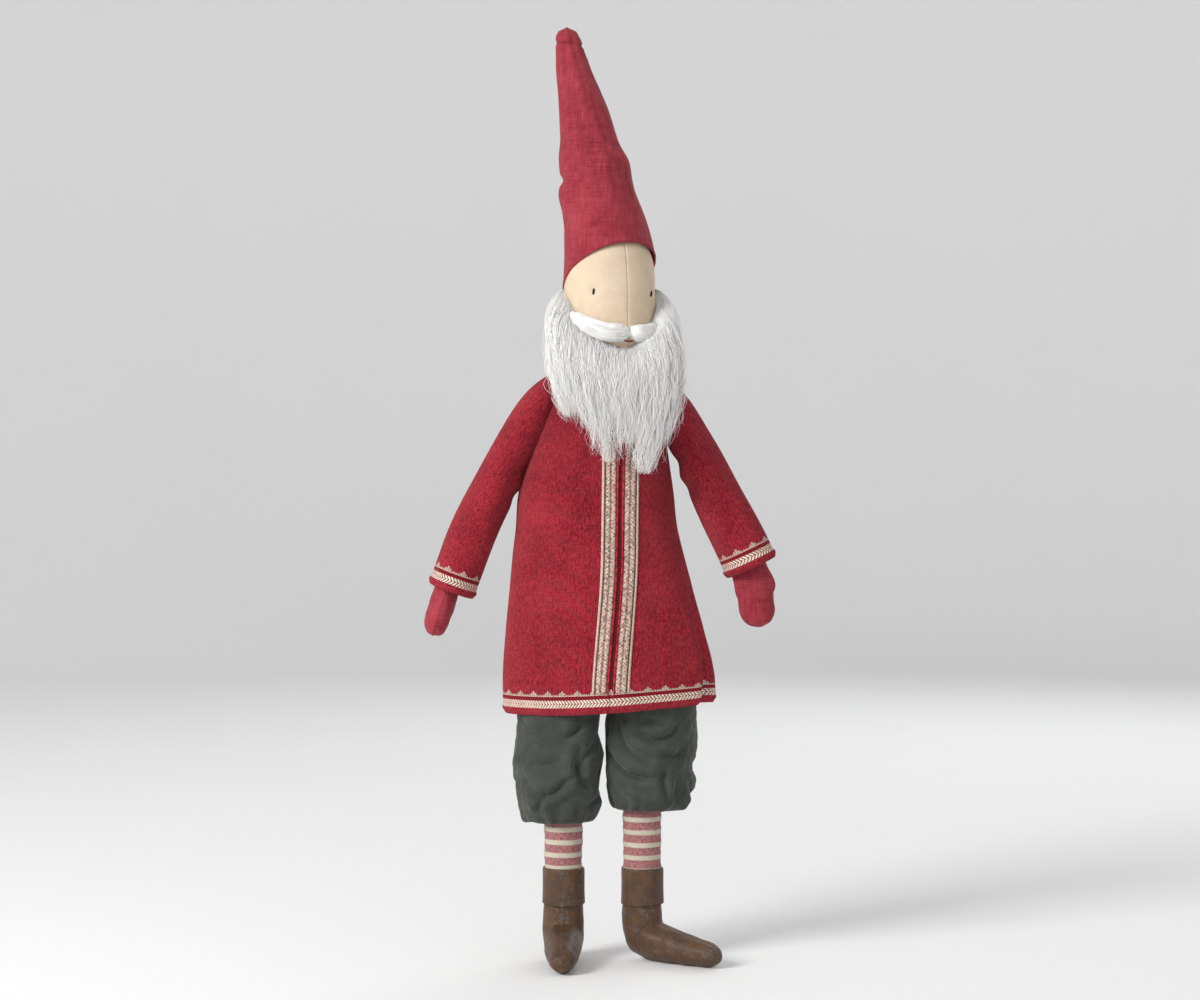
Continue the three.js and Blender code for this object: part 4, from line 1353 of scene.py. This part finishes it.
# Each mitten's palm and thumb, the direction of the thumb's depth, and the plane of its seam.
MITTENS = {
    "left": {
        "palm": [
            [-110.2, -1, 282, 8, 13],
            [-113.5, -1, 270, 9.2, 14],
            [-118, -1.5, 256, 9.6, 14.5],
            [-121.2, -2, 245, 8.6, 12.5],
            [-122.8, -2, 239.5, 5, 7.5],
            [-123.2, -2, 237.8, 0.6, 0.8],
        ],
        "thumb": [
            [-114, 6, 270, 5, 5],
            [-117, 14, 262, 5.4, 5.4],
            [-119, 18, 255, 4.6, 4.6],
            [-120, 19.5, 250, 0.6, 0.6],
        ],
        "thumb_side": (1, 0, 0),
        "look": "mitten_side",
        "seam": ([-118, 0, 256], [0.96, 0, -0.3]),
    },
    "right": {
        "palm": [
            [107.5, -1, 298, 12, 8],
            [110.5, -1, 285, 13.2, 8.6],
            [114, -1, 268, 13.2, 8.8],
            [116.4, -2, 254, 12.2, 8],
            [117.6, -2, 247, 8, 5.6],
            [118, -2, 244.6, 0.8, 0.6],
        ],
        "thumb": [
            [116, -1, 290, 5.4, 5.4],
            [121.5, -1, 281, 5.2, 5.2],
            [125, -1, 275, 4.4, 4.4],
            [127, -1, 270.5, 0.6, 0.6],
        ],
        "thumb_side": (0, 1, 0),
        "look": "mitten_front",
        "seam": ([116, -1.4, 265], [0, 1, 0]),
    },
}


def add_mittens():
    for side, mitten in MITTENS.items():
        forms = [(mitten["palm"], (0, 1, 0)), (mitten["thumb"], mitten["thumb_side"])]
        piece = sewn(f"{side}_linen_mitten", forms, mitten["look"], "red_linen", 0.9,
                     *mitten["seam"], smoothing=6)
        settle(piece, f"{side}_arm", f"{side}_mitten", f"{side}_hand_stuffing", fill=0.8)


# ---------------------------------------------------------------- legs

LEGS = {"left": JOINTS["left_hip"].x, "right": JOINTS["right_hip"].x}
BREECHES = {
    "left": [
        [-27, 1, 222, 31, 36],
        [-27, 0, 200, 32, 36],
        [-28, 0, 176, 33, 35],
        [-29, 0, 152, 33.4, 34],
        [-29, 0, 130, 32.6, 33],
        [-27.6, 0, 114, 29.6, 30],
        [-27, 0, 104.5, 25, 26],
        [-27, 0, 101.5, 20.6, 21],
        [-27, 0, 103.5, 15.4, 15.4],
        [-27, 0, 108, 14.8, 14.8],
    ],
    "right": [
        [37, 1, 222, 32, 36],
        [38, 0, 200, 33, 36],
        [38, 0, 180, 33, 35],
        [37, 0, 158, 32.6, 34],
        [35.4, 0, 138, 31.4, 33],
        [34, 0, 122, 28.8, 30.4],
        [32.6, 0, 113.5, 25, 26],
        [31.4, 0, 110.5, 20.6, 21],
        [31, 0, 112.5, 15.4, 15.4],
        [31, 0, 117, 14.8, 14.8],
    ],
}
BREECHES_RADIUS = 33  # turns an angle round a leg into millimetres
FOLD_SEEDS = {"left": 5, "right": 9}
KNEE_DROOP = {"left": 7.0, "right": 4.0}

# Creases on the front of each breeches leg: places across and up, and the crease's depth.
CREASES = {
    "left": [
        ([(-53, 135), (-45, 127), (-35, 126), (-21, 136)], 3.4),
        ([(-15, 158), (-17, 146), (-14, 134), (-8, 127)], 4.0),
        ([(-2, 164), (-9, 154), (-17, 142)], 2.6),
        ([(-12, 179), (-16, 172), (-24, 165)], 3.0),
        ([(-14, 110), (-6, 112), (2, 119)], 3.0),
        ([(-60, 183), (-52, 172), (-38, 168)], 2.2),
        ([(-58, 150), (-46, 146), (-30, 150)], 1.8),
        ([(-50, 112), (-44, 118), (-40, 128)], 2.0),
    ],
    "right": [
        ([(13, 181), (15, 166), (22, 156), (37, 151)], 3.8),
        ([(59, 181), (52, 169), (40, 164), (25, 171)], 3.4),
        ([(6, 156), (11, 145), (24, 138), (46, 138)], 4.0),
        ([(47, 143), (46, 131), (50, 119)], 3.4),
        ([(55, 139), (54, 128), (58, 118)], 3.0),
        ([(28, 176), (38, 178), (48, 176)], 2.0),
        ([(12, 122), (18, 118), (28, 118)], 2.4),
        ([(62, 160), (54, 152), (44, 154)], 2.2),
    ],
}


def crease(points, path, depth):
    """The relief of one crease along a path on the front, with a soft bulge on both sides of it."""
    line = even(path, 40)
    gap = np.hypot(points[..., 0, None] - line[:, 0], points[..., 2, None] - line[:, 1])
    nearest = gap.argmin(-1)
    distance = np.take_along_axis(gap, nearest[..., None], -1)[..., 0]
    middle = np.sin(np.pi * np.clip(nearest / 39, 0.04, 0.96)) ** 0.6
    front = ease(-points[..., 1], 2, 14)
    return depth * middle * front * (0.6 * hump(distance, 6.0, 4.5) - 1.0 * hump(distance, 0, 2.0))


def random_folds(points, angle, bottom, draw):
    """Fourteen slanting folds, each a soft bulge with a sharp groove beside it."""
    z = points[..., 2]
    relief = np.zeros(z.shape)
    for _ in range(14):
        middle, height = draw.uniform(-np.pi, np.pi), bottom + draw.uniform(14, 74)
        lean = draw.uniform(0.4, 1.1) * (1 if draw.uniform() < 0.5 else -1)
        across = turn_gap(angle, middle) * BREECHES_RADIUS
        up = z - height
        straight = across * np.cos(lean) + up * np.sin(lean)
        run = -across * np.sin(lean) + up * np.cos(lean)
        bow = straight - 0.014 * run**2 * draw.uniform(-1, 1)
        size = draw.uniform(2.6, 4.4)
        soft = hump(bow, -6, 7) * hump(run, 0, 24)
        sharp = hump(bow, 2.2, 2.6) * hump(run, 0, 18)
        relief += size * (0.7 * soft - 0.9 * sharp)
    return relief


def breeches_folds(points, angle, bottom, side):
    """Gathers at the knee and big slanting folds, outwards, in millimetres."""
    seed = FOLD_SEEDS[side]
    z = points[..., 2]
    relief = random_folds(points, angle, bottom, np.random.default_rng(seed))
    relief *= 1 - 0.8 * ease(-points[..., 1], 6, 20)
    for path, depth in CREASES[side]:
        relief += crease(points, path, depth)
    wrinkles = 0.5 * ripple(points, 13, seed) + 0.3 * ripple(points, 6, seed + 1)
    pleats = np.sin(angle * 11 + 1.5 * np.sin(angle * 2)) + 0.6 * np.sin(angle * 19 + 2)
    near = np.exp(-np.clip(z - bottom - 3, 0, None) / 7)
    ends = ease(z, bottom, bottom + 14) * (1 - 0.75 * ease(z, 174, 188))
    return (np.clip(relief, -6, 4.2) + wrinkles) * ends + 1.2 * pleats * near


# How far the left leg's cloth reaches to the right at a height, and the gap to the right leg's.
INSEAM = [(98, 4.2, 1.2), (108, 4.8, 0.6), (125, -1.0, 3.6), (134, 0.0, 2.8), (150, 3.2, 0.6),
          (166, -1.6, 5.2), (181, 0.2, 2.8), (222, 2.0, 0.8)]


def keep_side(points, way):
    """Presses a leg's cloth softly against the inseam, so that the legs stay apart."""
    sharp = 0.8
    heights, limit, gap = np.array(INSEAM).T
    edge = np.interp(points[..., 2], heights, limit)
    if way > 0:
        edge = edge + np.interp(points[..., 2], heights, gap)
    room = way * (points[..., 0] - edge)
    points[..., 0] = edge + way * np.logaddexp(0, room * sharp) / sharp


def add_breeches():
    for side, sections in BREECHES.items():
        way, x = WAY[side], LEGS[side]
        bottom = min(row[2] for row in sections)
        points, outward, angle, length = tube_grid(sections, 130, 150)
        relief = breeches_folds(points, angle[None, :], bottom, side)
        share = (length / length[-1])[:, None]
        relief = relief * (1 - 0.85 * ease(share, 0.86, 1.0))
        z = points[..., 2]
        outer = hump(turn_gap(angle, way * 1.45)[None, :], 0, 0.42)
        relief += 3.4 * outer * hump(z, bottom + 4, 7) * (1 - ease(share, 0.84, 0.93))
        points = points + outward * relief[..., None]
        inward = -way * (points[..., 0] - x) / BREECHES_RADIUS
        droop = inward * KNEE_DROOP[side] - 2.5 * outer
        fade = (1 - ease(z, bottom + 8, bottom + 55)) * (1 - ease(share, 0.88, 0.97))
        points[..., 2] += droop * fade
        keep_side(points, way)
        leg = surface(f"{side}_velvet_leg", points, tube_uv(points, length), "grey_velvet", closed=True)
        thicken(leg, 0.9)
        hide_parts(f"{side}_breeches_leg")
        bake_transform(leg)


def add_seat():
    table = [
        [4, 0, 206, 30, 22],
        [4, 0, 208, 50, 34],
        [4, 0, 216, 62, 41],
        [4, 0, 232, 61, 41.5],
        [4, 0, 248, 58, 39.5],
        [4, 0, 256, 55.5, 38],
        [4, 0, 261, 56, 38.4],
    ]
    points, outward, angle, length = tube_grid(table, 50, 120)
    z = points[..., 2]
    pleats = np.sin(angle * 24 + np.sin(angle * 3))[None, :] * hump(z, 256, 9) * 0.8
    points = points + outward * (pleats + 0.8 * ripple(points, 22, 4))[..., None]
    uv = tube_uv(points, length)
    seat = surface("velvet_seat", points, uv, "grey_velvet", closed=True, caps="start")
    thicken(seat, 0.9)
    settle(seat, "torso", "breeches_seat")


STRIPE_START = {"left": 94.9, "right": 102.2}  # the height at which a cream stripe begins


def add_stockings():
    for side, x in LEGS.items():
        table = [
            [x, 0, 200, 7.0, 7.0],
            [x, 0, 192, 11.5, 11.5],
            [x, 0, 180, 13.6, 13.6],
            [x, 0, 150, 14.2, 14.2],
            [x, 0, 100, 14.0, 14.2],
            [x, 0, 72, 13.9, 14.1],
            [x, 0, 50, 12.8, 13.0],
        ]
        points, outward = tube_grid(table, 140, 72)[:2]
        uneven = 0.35 * ripple(points, 14, 12) + 0.25 * np.sin(points[..., 2] * TAU / STRIPE_PITCH)
        points = points + outward * uneven[..., None]
        uv = tube_uv(points, points[:, 0, 2] - STRIPE_START[side])
        sock = surface(f"{side}_stocking", points, uv, "striped_cotton", closed=True, caps="start end")
        settle(sock, f"{side}_leg", f"{side}_leg_casing", f"{side}_leg_stuffing", fill=0.9)


# ---------------------------------------------------------------- boots

BOOT_TURN = {"left": 0.0, "right": np.radians(55)}
BOOT = [
    [0, 0, 65, 13.8, 14.0],
    [0, 0, 48, 14.0, 14.3],
    [0, 0, 35, 14.4, 14.8],
    [0, -0.6, 23, 15.2, 15.2],
    [0, -4.5, 15.4, 15.2, 15.2],
    [0, -14, 12.4, 13.8, 14.0],
    [0, -30, 10.4, 11.8, 13.2],
    [0, -46, 8.8, 9.8, 11.4],
    [0, -59, 7.6, 8.2, 9.2],
    [0, -66.5, 7.0, 5.8, 6.4],
    [0, -69, 7, 0.6, 0.8],
]


def turned(points, x, turn):
    """Points from a boot's own coordinates, toe to the front, to the doll's."""
    c, s = np.cos(turn), np.sin(turn)
    own_x, own_y, z = np.moveaxis(points, -1, 0)
    return np.stack([x + c * own_x - s * own_y, s * own_x + c * own_y, z], -1)


def add_boots():
    for side, x in LEGS.items():
        piece = sewn(f"{side}_boot", [(BOOT, (1, 0, 0))], "brown_leather", "brown_leather", 1.0,
                     [0, 0, 0], [1, 0, 0], smoothing=5)
        points = points_of(piece)
        points[:, 2] -= points[:, 2].min()
        z = points[:, 2]
        points[:, 2] = np.where(z < 2.5, z * ease(z, 0.6, 2.5), z)
        put_points(piece, turned(points, x, BOOT_TURN[side]))
        inside = ("outer_panel", "inner_panel", "stuffing", "weight")
        settle(piece, f"{side}_leg", *(f"{side}_boot_{part}" for part in inside), fill=0.85)
        add_cuff(side, x)


def add_cuff(side, x):
    """A folded cuff: a strip wound round the top of the boot, its end lapped over its start."""
    lap = 1.15
    angle = np.linspace(lap, lap + TAU + 0.22, 130)
    share = (angle - lap) / TAU
    z = np.array([60, 66.4, 67.9, 68, 66.8, 62, 56, 50, 45, 42.4, 41.2])[:, None]
    out = np.array([-1.4, -1.5, -0.9, -0.2, 0.35, 0.3, 0.25, 0.3, 0.45, 0.6, 0.55])[:, None]
    wind = 14.75 + 0.95 * share
    uneven = 0.25 * np.sin(2 * angle + 0.7) + 0.15 * np.sin(5 * angle)
    radius = np.minimum(wind + uneven + out, 16.6)
    wave = 0.5 * np.sin(angle * 2 + x) + 0.3 * np.sin(angle * 5)
    height = z + wave * ease(-z, -60, -45)
    points = np.stack([x + np.sin(angle) * radius, -np.cos(angle) * radius, height], -1)
    cuff = surface(f"{side}_cuff", points, pairs(angle[None, :] * 15, z), "brown_leather")
    use(cuff, "SUBSURF", levels=1)
    thicken(cuff, 0.8)
    settle(cuff, f"{side}_leg", f"{side}_boot_cuff")


# ---------------------------------------------------------------- light, floor and camera

VIEW_DISTANCE = 1.8
VIEW_HEIGHT = 0.338
SENSOR = 36.0
IMAGE_WIDTH = 1200
FOCAL_PIXELS = 2442
WORLD_STRENGTH = 0.5
# Name, place and aim in metres, size, and power in watts.
LAMPS = [
    ("key", (-1.9, -1.7, 1.5), (0, 0, 0.35), 1.0, 64),
    ("front", (0.2, -2.7, 1.1), (0, 0, 0.3), 1.6, 5),
    ("rear", (0.9, 1.9, 1.6), (0, 0, 0.35), 1.4, 12),
]
FLOOR_DROP = 0.0004  # metres below the soles


def add_camera():
    data = bpy.data.cameras.new("camera")
    data.sensor_width = SENSOR
    data.lens = SENSOR * FOCAL_PIXELS / IMAGE_WIDTH
    camera = bpy.data.objects.new("camera", data)
    camera.location = (0, AXIS_Y * MM - VIEW_DISTANCE, VIEW_HEIGHT)
    camera.rotation_euler = (np.pi / 2, 0, 0)
    bpy.context.scene.collection.objects.link(camera)
    bpy.context.scene.camera = camera


def add_lamp(name, place, aim, size, power):
    data = bpy.data.lights.new(name, "AREA")
    data.size = size
    data.energy = power
    lamp = bpy.data.objects.new(name, data)
    lamp.location = place
    lamp.rotation_euler = (Vector(aim) - Vector(place)).to_track_quat("-Z", "Y").to_euler()
    bpy.context.scene.collection.objects.link(lamp)


def add_floor():
    """A pale floor that curves up into a low round wall."""
    flat, bend, top = 3.0, 1.3, 2.8
    curve = np.linspace(0, np.pi / 2, 16)
    bent = [(flat + bend * np.sin(c), bend * (1 - np.cos(c))) for c in curve]
    profile = [(0.0, 0.0), *bent, (flat + bend, top)]
    turn = np.linspace(0, TAU, 97)
    grid = [[(r * np.cos(t), r * np.sin(t), z - FLOOR_DROP) for t in turn] for r, z in profile]
    grid = np.asarray(grid) / MM - [0, AXIS_Y, 0]
    shade = Shade("pale_floor", roughness=0.95, specular=0.1)
    pale = shade.mix(shade.noise(400, 1.0), (0.9, 0.9, 0.9), (0.92, 0.92, 0.92))
    LOOKS["floor"] = shade.finish(pale)
    floor = surface("floor", grid, grid[..., :2], "floor", closed=True)
    del floor["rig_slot"]


def add_lights():
    """Soft light, mostly from the upper left, and a white world."""
    world = bpy.data.worlds.new("studio")
    world.use_nodes = True
    background = world.node_tree.nodes["Background"]
    background.inputs["Color"].default_value = (1, 1, 1, 1)
    background.inputs["Strength"].default_value = WORLD_STRENGTH
    bpy.context.scene.world = world
    for lamp in LAMPS:
        add_lamp(*lamp)
    bpy.context.scene.view_settings.view_transform = "Standard"


def dress_cad():
    """Gives each CAD node the material of its slot."""
    slots = {part["node"]: part["material_slot"] for part in frame["record"]["subparts"]}
    for name, node in frame["nodes"].items():
        node.data.materials.clear()
        node.data.materials.append(LOOKS[slots[name]])


add_camera()
add_floor()
add_lights()
dress_cad()
add_hat()
add_head()
add_face()
add_moustache()
add_beard()
add_tunic()
add_trims()
add_neckband()
add_sleeves()
add_arms()
add_mittens()
add_breeches()
add_seat()
add_stockings()
add_boots()
